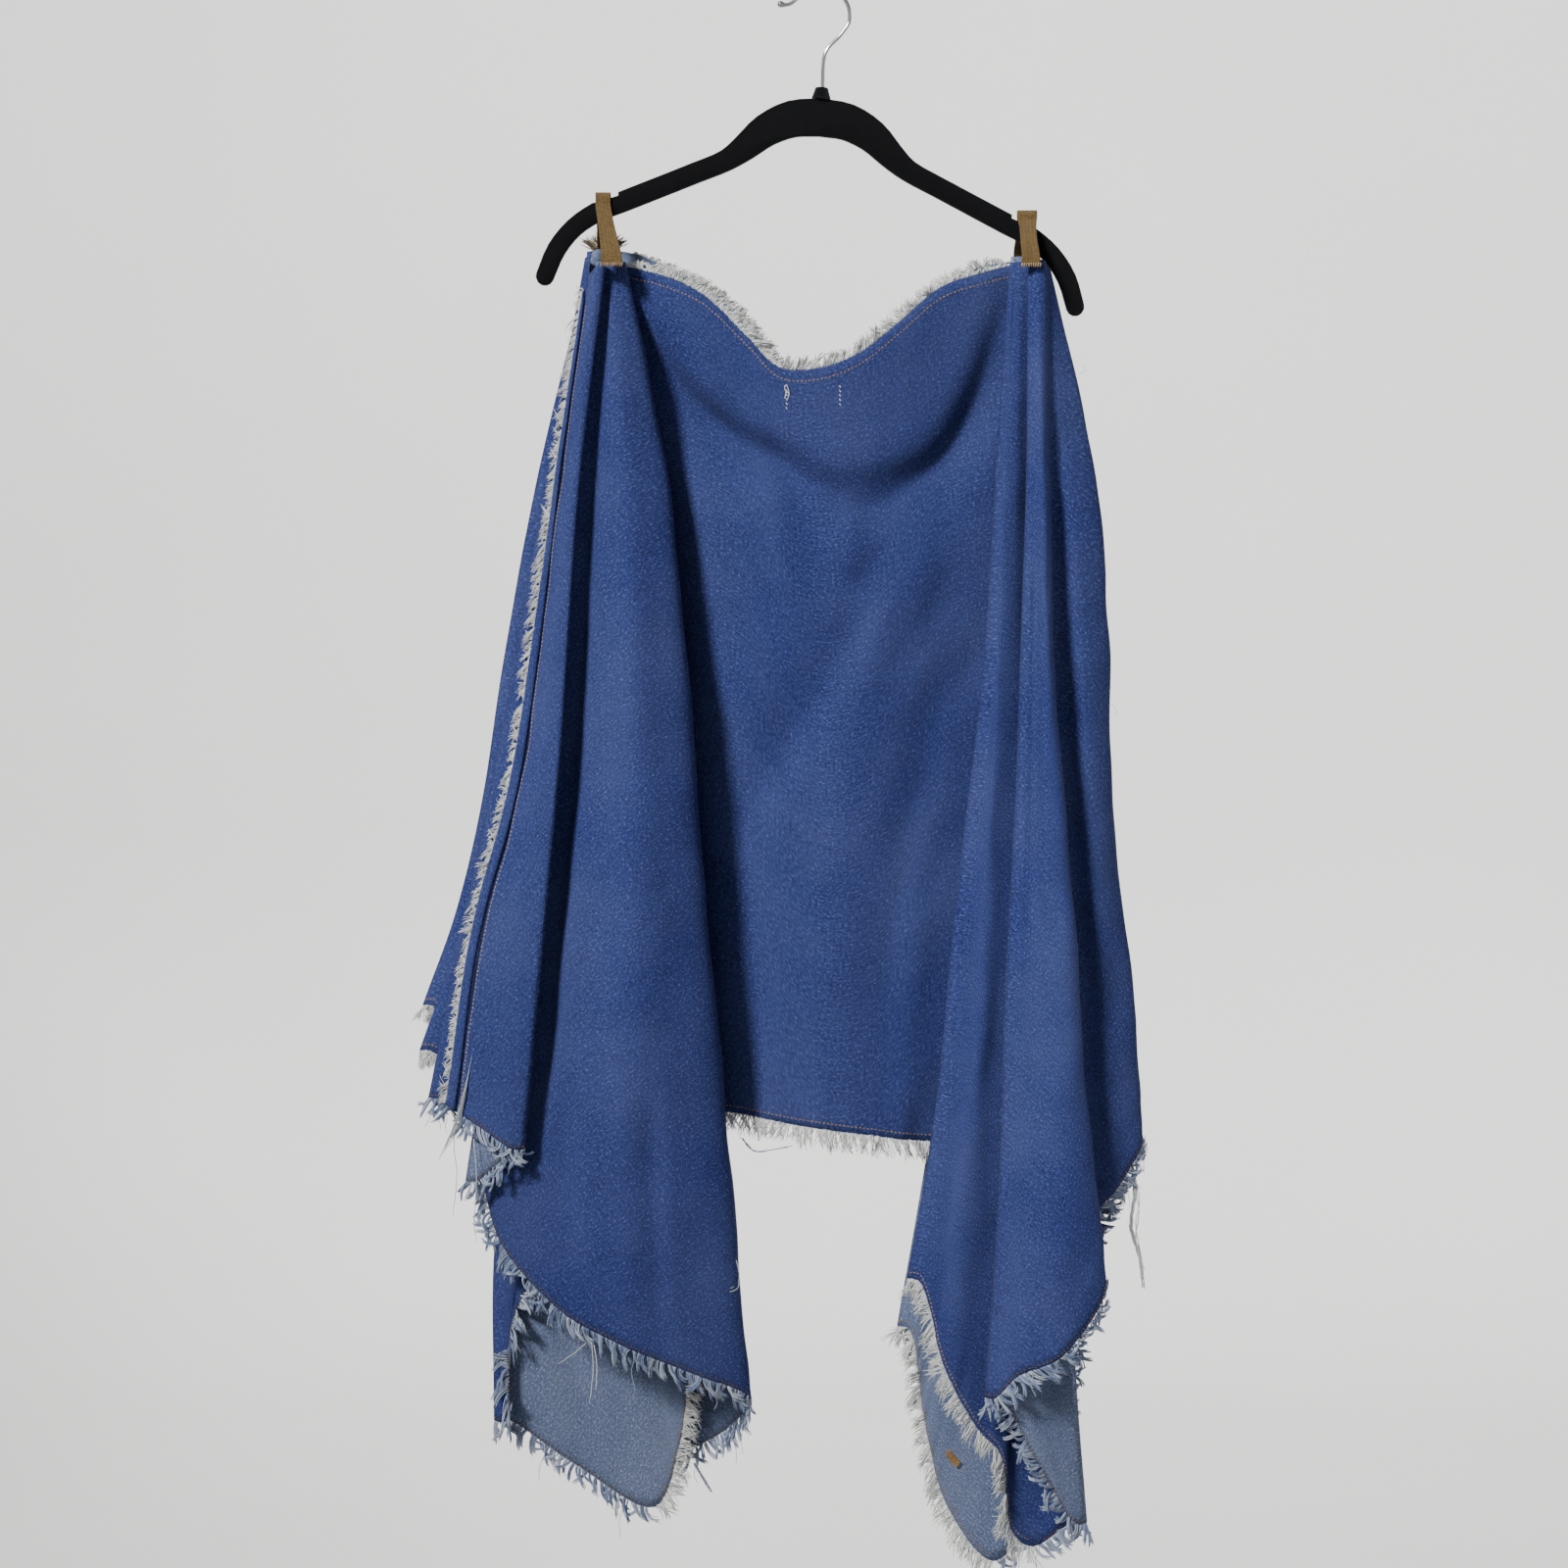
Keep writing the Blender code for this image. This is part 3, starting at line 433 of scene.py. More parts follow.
# Soft creases pressed into the cloth: the ribs they lie between, how deep they are pressed,
# how wide they are above and below their line, and the line itself as (x, z).
BACK_CREASES = [
    # the deep valley under the cowl, from the left loop round to the right one
    (14.5, 27, 19, 13, 32, [(-140, -276), (-124, -303), (-106, -327), (-84, -346), (-62, -362), (-30, -377),
                           (-4, -396), (33, -414)]),
    (17, 26.5, 15, 12, 26, [(20, -412), (44, -410), (72, -394), (98, -370), (126, -322), (146, -262)]),
    (17, 26, 6, 8, 16, [(-4, -386), (24, -392), (58, -386), (84, -368)]),
    # soft diagonals below the cowl
    (17, 27, 7, 18, 22, [(50, -440), (24, -512), (-4, -562), (-42, -626), (-72, -690)]),
    (18, 27, 4, 10, 16, [(-18, -420), (0, -452), (24, -470), (60, -430)]),
    (20, 27.5, 5, 16, 26, [(122, -520), (84, -600), (62, -700), (50, -820), (48, -912)]),
    (17, 22, 3, 14, 20, [(-66, -700), (-52, -780), (-46, -890)]),
    # the fall from the left loop across the neck edge
    (15.5, 19, -5, 14, 16, [(-140, -238), (-112, -262), (-92, -296), (-76, -330)]),
    # the valley beside the left shoulder seam's flap
    (4.2, 6.7, 6, 8, 9, [(-166, -240), (-181, -400), (-194, -600), (-206, -740), (-222, -912)]),
    # the left wing's wide flap
    (5, 9, 3.5, 9, 16, [(-200, -860), (-198, -930), (-194, -1010)]),
    (5, 9, 4.5, 7, 14, [(-131, -860), (-128, -960), (-124, -1070)]),
    (5, 9, 3, 12, 18, [(-160, -380), (-166, -520), (-170, -660), (-168, -800)]),
    # the right wing
    (36, 40, 6, 8, 14, [(196, -470), (206, -640), (214, -800), (220, -930)]),
    (36, 37.7, 4, 10, 14, [(168, -420), (170, -560), (168, -700), (170, -860)]),
    (28, 32, 5, 9, 13, [(122, -620), (112, -760), (98, -900), (92, -1040)]),
    (40.6, 43, 3, 8, 10, [(222, -480), (234, -640), (240, -800)]),
    (39.2, 41.7, 9, 10, 12, [(184, -360), (190, -520), (197, -640), (206, -760), (214, -900)]),
]
FRONT_CREASES = [
    (14.6, 24, -16, 10, 32, [(140, -262), (112, -318), (70, -372), (20, -404), (-24, -404)]),
    (15, 22, -10, 12, 26, [(-150, -250), (-122, -310), (-84, -360), (-36, -392), (10, -400)]),
    (15, 24, -6, 18, 24, [(-30, -430), (0, -520), (34, -600), (72, -700)]),
    (15, 24, -5, 16, 26, [(-120, -520), (-90, -640), (-76, -760), (-66, -850)]),
    (15, 24, -4, 16, 22, [(120, -500), (110, -640), (104, -780), (98, -850)]),
    (4.5, 7.2, 4, 10, 14, [(-210, -1010), (-196, -1080), (-176, -1150)]),
    (4.5, 7.2, 3, 8, 14, [(-176, -1000), (-166, -1070), (-150, -1130)]),
]


class Panel:
    """A panel's cloth as a grid of points: row 0 is its top edge, and the last row its lower edge."""

    def __init__(self, ribs, creases, seed):
        count = np.linspace(0.0, 1.0, PANEL_ROWS + 1)
        columns = np.array([self.resample(rib, np.append(count, FOLD_TEST)) for rib in ribs])
        folds = self.find_folds(columns[:, -1, :2])
        self.fold_ribs = np.flatnonzero(folds)
        self.rows, self.rib_of_column = self.lay_rows(columns[:, :-1], folds)
        self.cut = self.unroll()
        self.crease(creases)
        self.ripple(seed)

    @staticmethod
    def resample(rib, shares):
        dense = through(np.array([rib], dtype=float), 12)[0]
        steps = np.linalg.norm(np.diff(dense, axis=0), axis=1)
        along = np.concatenate([[0.0], np.cumsum(steps)]) / steps.sum()
        return np.array([[np.interp(share, along, dense[:, axis]) for axis in range(3)] for share in shares])

    @staticmethod
    def find_folds(row):
        """The ribs at which the cloth turns back on itself."""
        turns = [np.dot(row[i] - row[i - 1], row[i + 1] - row[i]) < 0 for i in range(1, len(row) - 1)]
        return [False] + turns + [False]

    @staticmethod
    def open_fold(before, tip, after):
        """The points beside a fold's tip, set apart so that the cloth turns in a round bend."""
        reach_back = np.linalg.norm(before - tip, axis=1, keepdims=True)
        reach_on = np.linalg.norm(after - tip, axis=1, keepdims=True)
        inward = (before - tip) / reach_back + (after - tip) / reach_on
        inward[:, 2] = 0.0
        inward /= np.linalg.norm(inward, axis=1, keepdims=True)
        across = np.column_stack([-inward[:, 1], inward[:, 0], np.zeros(len(inward))])
        apart = np.sum((before - after) * across, axis=1, keepdims=True)
        order = np.sign(apart.mean())
        half = order * np.clip(FOLD_SHARE * order * apart, FOLD_LEAST_GAP, FOLD_HALF_GAP)
        depth = np.minimum(FOLD_DEPTH, 0.35 * np.minimum(reach_back, reach_on))
        return tip + inward * depth + across * half, tip + inward * depth - across * half

    def lay_rows(self, columns, folds):
        """Fine rows through the ribs, with about the same pitch between columns all over the cloth."""
        knots, knot_rib = [], []
        for rib, points in enumerate(columns):
            if folds[rib]:
                start, stop = self.open_fold(columns[rib - 1], points, columns[rib + 1])
                knots += [start, points, stop]
                knot_rib += [rib - FOLD_BESIDE, rib, rib + FOLD_BESIDE]
            else:
                knots.append(points)
                knot_rib.append(rib)
        steps = 10
        dense = through(np.stack(knots, axis=1), steps)
        lengths = np.linalg.norm(np.diff(dense, axis=1), axis=2)
        along = np.concatenate([np.zeros((len(dense), 1)), np.cumsum(lengths, axis=1)], axis=1)
        places = along[:, ::steps]
        arcs, rib_of_column = [], []
        for knot in range(places.shape[1] - 1):
            start, stop = places[:, knot], places[:, knot + 1]
            parts = max(2, round((stop - start).max() / COLUMN_PITCH))
            for part in range(parts):
                arcs.append(start + (stop - start) * part / parts)
                rib_of_column.append(knot_rib[knot] + (knot_rib[knot + 1] - knot_rib[knot]) * part / parts)
        arcs.append(places[:, -1])
        rib_of_column.append(knot_rib[-1])
        arcs = np.stack(arcs, axis=1)
        rows = np.array([[np.interp(arcs[row], along[row], dense[row, :, axis]) for axis in range(3)]
                         for row in range(len(dense))]).transpose(0, 2, 1)
        return rows, np.array(rib_of_column)

    def unroll(self):
        """Where each point lies in the flat cut, in metres: the cloth is unrolled from its middle."""
        down = np.linalg.norm(np.diff(self.rows, axis=0), axis=2)
        down = np.concatenate([np.zeros((1, down.shape[1])), np.cumsum(down, axis=0)])
        top = np.linalg.norm(np.diff(self.rows[0], axis=0), axis=1)
        foot = np.linalg.norm(np.diff(self.rows[-1], axis=0), axis=1)
        outside = np.abs(self.rib_of_column - MIDDLE_RIB) > 3
        middle = int(np.argmin(np.abs(self.rows[0, :, 0]) + 1000 * outside))
        lean = np.concatenate([[0.0], np.cumsum((foot - top) / (0.5 * (down[-1, 1:] + down[-1, :-1])))])
        lean -= lean[middle]
        x = np.concatenate([[0.0], np.cumsum(top * np.cos(lean[1:]))])
        y = np.concatenate([[0.0], np.cumsum(top * np.sin(lean[1:]))])
        x, y = x - x[middle], y - y[middle]
        return np.stack([x + down * np.sin(lean), y - down * np.cos(lean)], axis=2) * MM

    def normals(self):
        """Directions off the face that the columns and rows turn towards: -Y in the middle."""
        across = np.gradient(self.rows, axis=1)
        downward = np.gradient(self.rows, axis=0)
        off = np.cross(downward, across)
        return off / np.maximum(np.linalg.norm(off, axis=2, keepdims=True), 1e-9)

    def calm_at_folds(self, shift):
        """The same shift, made small where the cloth turns back, so that a tight bend stays open."""
        for rib in self.fold_ribs:
            away = (self.rib_of_column - rib) / FOLD_CALM_WIDTH
            shift = shift * (1 - FOLD_CALM * np.exp(-(away ** 2)))
        return shift

    def crease(self, creases):
        """The cloth pressed in along each crease's line, most in the middle of its length."""
        off = self.normals()
        shift = np.zeros(self.rows.shape[:2])
        x, z = self.rows[:, :, 0], self.rows[:, :, 2]
        share = np.linspace(0, 1, 121)
        for first, last, depth, above, below, line in creases:
            fine = self.resample([(a, 0, b) for a, b in line], share)[:, [0, 2]]
            slope = np.gradient(fine, axis=0)
            slope /= np.linalg.norm(slope, axis=1)[:, None]
            gap = (x[..., None] - fine[:, 0]) ** 2 + (z[..., None] - fine[:, 1]) ** 2
            near = np.argmin(gap, axis=2)
            dx, dz = x - fine[near, 0], z - fine[near, 1]
            side = slope[near, 0] * dz - slope[near, 1] * dx
            far = np.sqrt(np.min(gap, axis=2))
            width = np.where(side > 0, above, below)
            press = depth * np.exp(-((far / width) ** 2)) * np.sin(np.pi * (0.04 + 0.92 * share[near])) ** 0.7
            ribs = self.rib_of_column
            inside = np.clip((ribs - first) / 0.6, 0, 1) * np.clip((last - ribs) / 0.6, 0, 1)
            shift += press * inside
        self.rows = self.rows - off * self.calm_at_folds(shift)[..., None]

    def ripple(self, seed):
        """Slight unevenness all over the cloth, and small waves along its raw lower edge."""
        random = np.random.default_rng(seed)
        off = self.normals()
        x, y = self.cut[..., 0], self.cut[..., 1]
        shift = np.zeros(x.shape)
        for wave in range(14):
            turn = random.uniform(0, math.pi)
            length = random.uniform(0.035, 0.16)
            phase = (x * math.cos(turn) + y * math.sin(turn)) / length * 2 * math.pi + random.uniform(0, 6.28)
            bend = 0.8 * np.sin(x * random.uniform(5, 11)) + 0.8 * np.cos(y * random.uniform(5, 11))
            shift += np.sin(phase + bend) * 5.0 * length
        depth = np.linspace(0, 1, len(self.rows))[:, None]
        shift *= np.clip(depth * 5, 0, 1) * 0.55
        edge = np.sin(x * 2 * math.pi / 0.034) + np.sin(x * 2 * math.pi / 0.021 + 1.3)
        shift += 0.45 * edge * np.clip(depth * 12 - 11, 0, 1)
        self.rows = self.rows + off * self.calm_at_folds(shift)[..., None]

    def columns_between(self, first, last):
        ribs = self.rib_of_column
        return slice(int(np.searchsorted(ribs, first - 1e-6)), int(np.searchsorted(ribs, last + 1e-6)))


def add_cloth(name, points, cut, materials, wall, inner=0):
    """A grid of quads with the cloth's wall, and its place in the flat cut as its UV map."""
    height, width = points.shape[:2]
    index = np.arange(height * width).reshape(height, width)
    faces = np.stack([index[:-1, :-1], index[1:, :-1], index[1:, 1:], index[:-1, 1:]], axis=2).reshape(-1, 4)
    mesh = bpy.data.meshes.new(name)
    mesh.from_pydata((points.reshape(-1, 3) * MM).tolist(), [], faces.tolist())
    layout = mesh.uv_layers.new(name="cut")
    layout.data.foreach_set("uv", cut.reshape(-1, 2)[faces.ravel()].ravel())
    mesh.shade_smooth()
    for material in materials:
        mesh.materials.append(material)
    piece = link(name, mesh)
    solidify = piece.modifiers.new("wall", "SOLIDIFY")
    solidify.thickness = wall * MM
    solidify.offset = 0.0
    solidify.use_even_offset = False
    solidify.material_offset = inner
    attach(piece, "root")
    return piece


def denim(name, deep, pale, fleck, weft_share):
    """Blue warp over white weft: fine twill, flecks where the weft shows, and slubs along the warp."""
    twill = Finish(name, 0.92, Sheen_Weight=0.02, Sheen_Roughness=0.6, Specular_IOR_Level=0.12)
    cut = twill.node("ShaderNodeUVMap", "UV", {"uv_map": "cut"})
    flecks = twill.noise(twill.place(cut, (420, 620, 1)), 1.0, 3.0, 0.75)
    slubs = twill.noise(twill.place(cut, (34, 760, 1)), 1.0, 2.0, 0.6)
    picks = twill.noise(twill.place(cut, (760, 46, 1)), 1.0, 1.0, 0.5)
    clouds = twill.noise(twill.place(cut, (9, 9, 1)), 1.0, 3.0, 0.55)
    turned = twill.place(cut, (1, 1, 1), math.radians(-38))
    line = twill.node("ShaderNodeSeparateXYZ", "Y", Vector=turned)
    diagonal = (line * (2 * math.pi / TWILL_PITCH)).wave() * 0.5 + 0.5
    share = (twill.clamp(flecks, 0.38, 0.64) * 0.52 + twill.clamp(slubs, 0.3, 0.7) * 0.26
             + twill.clamp(picks, 0.3, 0.7) * 0.10 + diagonal * 0.12)
    colour = twill.between(share, deep, pale)
    bright = twill.clamp(flecks, 0.56, 0.72) * weft_share
    colour = twill.tint(bright, colour, fleck)
    worn = twill.clamp(clouds, 0.35, 0.75) * 0.10
    colour = twill.tint(worn, colour, fleck)
    relief = diagonal * 0.5 + flecks * 0.7 + slubs * 0.4
    return twill.show(colour, roughness=0.84 + flecks * 0.14, relief=relief, depth=0.0005, strength=0.55)


right_side = denim("denim_right_side", (0.004, 0.007, 0.045), (0.052, 0.079, 0.290), (0.26, 0.31, 0.56), 0.46)
wrong_side = denim("denim_wrong_side", (0.045, 0.066, 0.145), (0.205, 0.260, 0.410), (0.60, 0.66, 0.76), 0.62)

back = Panel(BACK_RIBS, BACK_CREASES, seed=11)
front = Panel(FRONT_RIBS, FRONT_CREASES, seed=12)
back_cloth = add_cloth("back_panel_cloth", back.rows, back.cut, (right_side, wrong_side),
                       CLOTH_WALL, inner=1)
front_cloth = add_cloth("front_panel_cloth", front.rows, front.cut, (wrong_side, right_side),
                        CLOTH_WALL, inner=1)
for piece, node in ((back_cloth, "back_panel"), (front_cloth, "front_panel")):
    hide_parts(node)


# ---------------------------------------------------------------------------------------
# White fringe: at the neck, the hem and the shoulder seams the warp has been pulled out,
# so loose weft threads stand off the edge in soft clumps.
# ---------------------------------------------------------------------------------------
NECK_REACH = 16.0
HEM_REACH = 17.0


class Edge:
    """Places along an edge of cloth, with the way out of the cloth, along it and off its face."""

    def __init__(self, lines, pitch, smoothing=9):
        edge, inner = lines[0], lines[1]
        along = np.gradient(edge, axis=0)
        along /= np.linalg.norm(along, axis=1)[:, None]
        out = edge - inner
        out -= along * np.sum(out * along, axis=1)[:, None]
        out /= np.maximum(np.linalg.norm(out, axis=1), 1e-9)[:, None]
        spread = np.ones(smoothing)
        half = smoothing // 2
        padded = np.vstack([out[:1]] * half + [out] + [out[-1:]] * half)
        out = np.column_stack([np.convolve(padded[:, axis], spread, mode="valid") for axis in range(3)])
        out /= np.linalg.norm(out, axis=1)[:, None]
        steps = np.linalg.norm(np.diff(edge, axis=0), axis=1)
        span = np.concatenate([[0.0], np.cumsum(steps)])
        self.length = span[-1]
        self.at = np.arange(pitch / 2, self.length, pitch)
        self.base = self.follow(span, edge)
        self.out = self.follow(span, out)
        self.along = self.follow(span, along)
        self.off = np.cross(self.along, self.out)

    def follow(self, span, values):
        return np.column_stack([np.interp(self.at, span, values[:, axis]) for axis in range(3)])


def sweep(name, bundles, material, sides=3):
    """One mesh of thin round threads. A bundle is (lines, radii, tint): a tint of 0 to 1 for each thread."""
    all_verts, all_faces, all_tints, count = [], [], [], 0
    random = np.random.default_rng(5)
    for lines, radii, tints in bundles:
        threads, places = lines.shape[:2]
        forward = np.gradient(lines, axis=1)
        forward /= np.maximum(np.linalg.norm(forward, axis=2, keepdims=True), 1e-9)
        guide = random.normal(size=(threads, 1, 3))
        right = np.cross(forward, guide)
        right /= np.maximum(np.linalg.norm(right, axis=2, keepdims=True), 1e-9)
        up = np.cross(forward, right)
        turn = np.arange(sides) * 2 * math.pi / sides
        ring = right[:, :, None] * np.cos(turn)[:, None] + up[:, :, None] * np.sin(turn)[:, None]
        verts = lines[:, :, None] + ring * radii[:, :, None, None]
        index = count + np.arange(threads * places * sides).reshape(threads, places, sides)
        after = np.roll(index, -1, axis=2)
        quads = np.stack([index[:, :-1], after[:, :-1], after[:, 1:], index[:, 1:]], axis=3).reshape(-1, 4)
        all_verts.append(verts.reshape(-1, 3))
        all_faces += quads.tolist() + index[:, 0, ::-1].tolist() + index[:, -1].tolist()
        all_tints.append(np.repeat(tints, places * sides))
        count += threads * places * sides
    mesh = bpy.data.meshes.new(name)
    mesh.from_pydata((np.concatenate(all_verts) * MM).tolist(), [], all_faces)
    tint = mesh.attributes.new("tint", "FLOAT", "POINT")
    tint.data.foreach_set("value", np.concatenate(all_tints).astype(np.float32))
    mesh.shade_smooth()
    mesh.materials.append(material)
    piece = link(name, mesh)
    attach(piece, "root")
    return piece


def straight_fringe(edge, reach, sag, radius, seed, places=5, lean=0.42, lift=0.22, clump=5.0, keep=None):
    """Threads that run out of the cloth in clumps, and curl a little at their tips."""
    random = np.random.default_rng(seed)
    count = len(edge.at)
    group = (edge.at // clump).astype(int)
    groups = group.max() + 1
    group_lean = random.normal(0.12, lean, groups)[group]
    group_lift = random.normal(0, lift, groups)[group]
    group_reach = random.uniform(0.72, 1.0, groups)[group]
    middle = (group + 0.5) * clump - edge.at
    length = reach * group_reach * random.uniform(0.68, 1.0, count)
    if keep is not None:
        length *= keep(edge.at / edge.length)
    share = np.linspace(0, 1, places)
    curl = random.normal(0, 0.16, (count, 1)) * share ** 2 * 3
    side = (group_lean[:, None] + random.normal(0, 0.10, (count, 1))) * share + curl * 0.5
    side = side * length[:, None] + 0.86 * middle[:, None] * share ** 1.2
    rise = (group_lift[:, None] + random.normal(0, 0.10, (count, 1))) * share * length[:, None]
    rise += random.uniform(-0.35, 0.35, (count, 1))
    drop = sag * share ** 2 * length[:, None]
    lines = (edge.base[:, None] + edge.out[:, None] * (share * length[:, None] * 0.97 - 0.6)[..., None]
             + edge.along[:, None] * side[..., None] + edge.off[:, None] * rise[..., None])
    lines[..., 2] -= drop
    taper = np.interp(share, [0, 0.7, 1], [1.0, 0.9, 0.35])
    radii = radius * random.uniform(0.75, 1.2, (count, 1)) * taper
    alive = length > 2.0
    return lines[alive], radii[alive], random.uniform(0, 1, count)[alive]


def cotton(name, low, middle, high, rough=0.95):
    """Loose yarn: each thread has its own tint, and a little fuzz."""
    yarn = Finish(name, rough, Sheen_Weight=0.2, Sheen_Roughness=0.6, Specular_IOR_Level=0.2)
    tint = yarn.node("ShaderNodeAttribute", "Fac", {"attribute_name": "tint"})
    place = yarn.node("ShaderNodeTexCoord", "Object")
    fuzz = yarn.noise(place, 900.0, 2.0, 0.6)
    colour = yarn.between(yarn.clamp(tint, 0.0, 0.6), low, middle)
    colour = yarn.tint(yarn.clamp(tint, 0.6, 1.0), colour, high)
    shade = yarn.node("ShaderNodeMix", 2, {"data_type": "RGBA", "blend_type": "MULTIPLY"}, i0=0.22, i6=colour,
                      i7=yarn.between(fuzz, (0.45, 0.45, 0.45), (1.0, 1.0, 1.0)))
    return yarn.show(shade)


weft_yarn = cotton("white_weft_yarn", (0.66, 0.70, 0.68), (0.92, 0.93, 0.90), (0.98, 0.98, 0.96))


def lower_lines(panel, columns):
    return panel.rows[::-1, columns]


def upper_lines(panel, columns):
    return panel.rows[:, columns]


PANELS = (
    ("back", back, back.columns_between(12, 33), back.columns_between(16, 26)),
    ("front", front, front.columns_between(7, 29), front.columns_between(15, 23)),
)


def neck_thinning(share):
    """The fringe wears thin towards the right loop."""
    return np.interp(share, [0, 0.04, 0.1, 0.62, 0.70, 0.80, 1.0], [0.3, 0.8, 1.0, 1.0, 0.95, 0.6, 0.25])


fringe_pieces = {"back": [], "front": []}
for (side, panel, hem, neck), seed in zip(PANELS, (21, 31)):
    neck_edge = Edge(upper_lines(panel, neck), pitch=0.62)
    thinning = neck_thinning if side == "back" else (lambda share: neck_thinning(1 - share))
    threads = [straight_fringe(neck_edge, NECK_REACH, sag=0.10, radius=0.60, seed=seed,
                               clump=6.5, keep=thinning),
               straight_fringe(neck_edge, NECK_REACH * 0.8, sag=0.15, radius=0.54, seed=seed + 1,
                               clump=4.4, keep=thinning)]
    neck_fringe = sweep(f"{side}_neck_threads", threads, weft_yarn)
    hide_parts(f"{side}_neck_fringe")
    hem_edge = Edge(lower_lines(panel, hem), pitch=1.0)
    threads = [straight_fringe(hem_edge, HEM_REACH, sag=0.25, radius=0.50, seed=seed + 2, clump=8.5),
               straight_fringe(hem_edge, HEM_REACH * 0.85, sag=0.35, radius=0.42, seed=seed + 3, clump=5.0)]
    hem_fringe = sweep(f"{side}_hem_threads", threads, weft_yarn)
    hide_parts(f"{side}_hem_fringe")
    for piece in (neck_fringe, hem_fringe):
        fringe_pieces[side].append(piece)


# ---------------------------------------------------------------------------------------
# Blue fringe: at the open sides the weft has been pulled out. The twisted warp threads,
# blue with white ones among them, curl back into short tight tufts.
# ---------------------------------------------------------------------------------------
SIDE_REACH = 15.0


def curly_fringe(edge, reach, seed, tuft=3.0, tuft_threads=9, places=8):
    """Locks of thread that leave the edge and hook round to one side, as untwisted warp does."""
    random = np.random.default_rng(seed)
    lines, radii, tints = [], [], []
    share = np.linspace(0, 1, places)
    for number in range(int(edge.length / tuft)):
        place = min(int((number + 0.5) * tuft / edge.length * len(edge.at)), len(edge.at) - 1)
        length = reach * random.uniform(0.95, 1.3)
        lean = random.normal(0.1, 0.25)
        turn = random.uniform(0.5, 2.1) * (1 if random.uniform() < 0.8 else -1)
        lift = random.normal(0.10, 0.16)
        pale = random.uniform(0.0, 0.35)
        for _ in range(tuft_threads):
            own = length * random.uniform(0.8, 1.05)
            angle = lean + turn * random.uniform(0.88, 1.12) * share ** 1.3
            out = own * np.cumsum(np.cos(angle)) / places
            side = own * np.cumsum(np.sin(angle)) / places + random.uniform(-0.45, 0.45) * tuft
            rise = own * lift * share + 1.6 * np.sin(share * 2.4) + random.uniform(-0.9, 0.9)
            line = (edge.base[place] + np.outer(out - 1.6, edge.out[place])
                    + np.outer(side, edge.along[place]) + np.outer(rise, edge.off[place]))
            line[:, 2] -= own * 0.12 * share ** 2
            lines.append(line)
            radii.append(0.46 * random.uniform(0.75, 1.2) * np.interp(share, [0, 0.8, 1], [1, 0.95, 0.5]))
            tints.append(min(1.0, pale + random.uniform(0.15, 0.75)))
    return np.array(lines), np.array(radii), np.array(tints)


def stray_ends(edge, count, low, high, seed, places=9):
    """Single long threads that hang from an edge."""
    random = np.random.default_rng(seed)
    share = np.linspace(0, 1, places)
    lines, radii, tints = [], [], []
    for _ in range(count):
        place = random.integers(0, len(edge.at))
        length = random.uniform(low, high)
        line = edge.base[place] + np.outer(6 * share ** 0.5, edge.out[place]) + np.outer(
            random.normal(0, 3) * share + 1.3 * np.sin(share * random.uniform(6, 12)), edge.along[place])
        line = line + np.outer(random.uniform(0, 2.5) * share, edge.off[place])
        line[:, 2] -= length * share ** 1.3
        lines.append(line)
        radii.append(np.full(places, 0.33) * np.interp(share, [0, 0.9, 1], [1, 0.85, 0.4]))
        tints.append(random.uniform(0.2, 1.0))
    return np.array(lines), np.array(radii), np.array(tints)


warp_yarn = cotton("blue_warp_yarn", (0.080, 0.125, 0.280), (0.300, 0.390, 0.600), (0.82, 0.86, 0.90))
for (side, panel, hem, _), seed in zip(PANELS, (41, 51)):
    last = panel.rows.shape[1] - 1
    for hand, columns, more in (("left", slice(1, hem.start), 0), ("right", slice(hem.stop - 1, last), 1)):
        side_edge = Edge(lower_lines(panel, columns), pitch=1.1)
        threads = [curly_fringe(side_edge, SIDE_REACH, seed + more),
                   stray_ends(side_edge, count=7, low=14, high=30, seed=seed + 4 + more)]
        side_fringe = sweep(f"{side}_side_threads_{hand}", threads, warp_yarn)
        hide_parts(f"{side}_side_fringe_{hand}")
        fringe_pieces[side].append(side_fringe)


# ---------------------------------------------------------------------------------------
# Shoulder seams: the panels are sewn together, and the raw allowance lies open on the
# outside, over the front panel, with a short matted fringe at its edge.
# ---------------------------------------------------------------------------------------
ALLOWANCE = 10.5
ALLOWANCE_INSETS = (1.2, 4.5, 7.5, ALLOWANCE)
ALLOWANCE_LIFT = 2.3
SEAM_FRINGE_REACH = 10.5


def inset_line(lines, inset):
    """A line on the cloth at a distance in from its edge. lines[0] is the edge, lines[1] the next line in."""
    steps = np.linalg.norm(np.diff(lines, axis=0), axis=2)
    depth = np.concatenate([np.zeros((1, steps.shape[1])), np.cumsum(steps, axis=0)])
    return np.array([[np.interp(inset, depth[:, place], lines[:, place, axis]) for axis in range(3)]
                     for place in range(lines.shape[1])])


def seam_lines(grid, hand):
    """A grid's columns, from the shoulder seam of one hand inwards."""
    if hand == "right":
        grid = grid[:, ::-1]
    return grid.transpose(1, 0, 2)[:60, 3:]


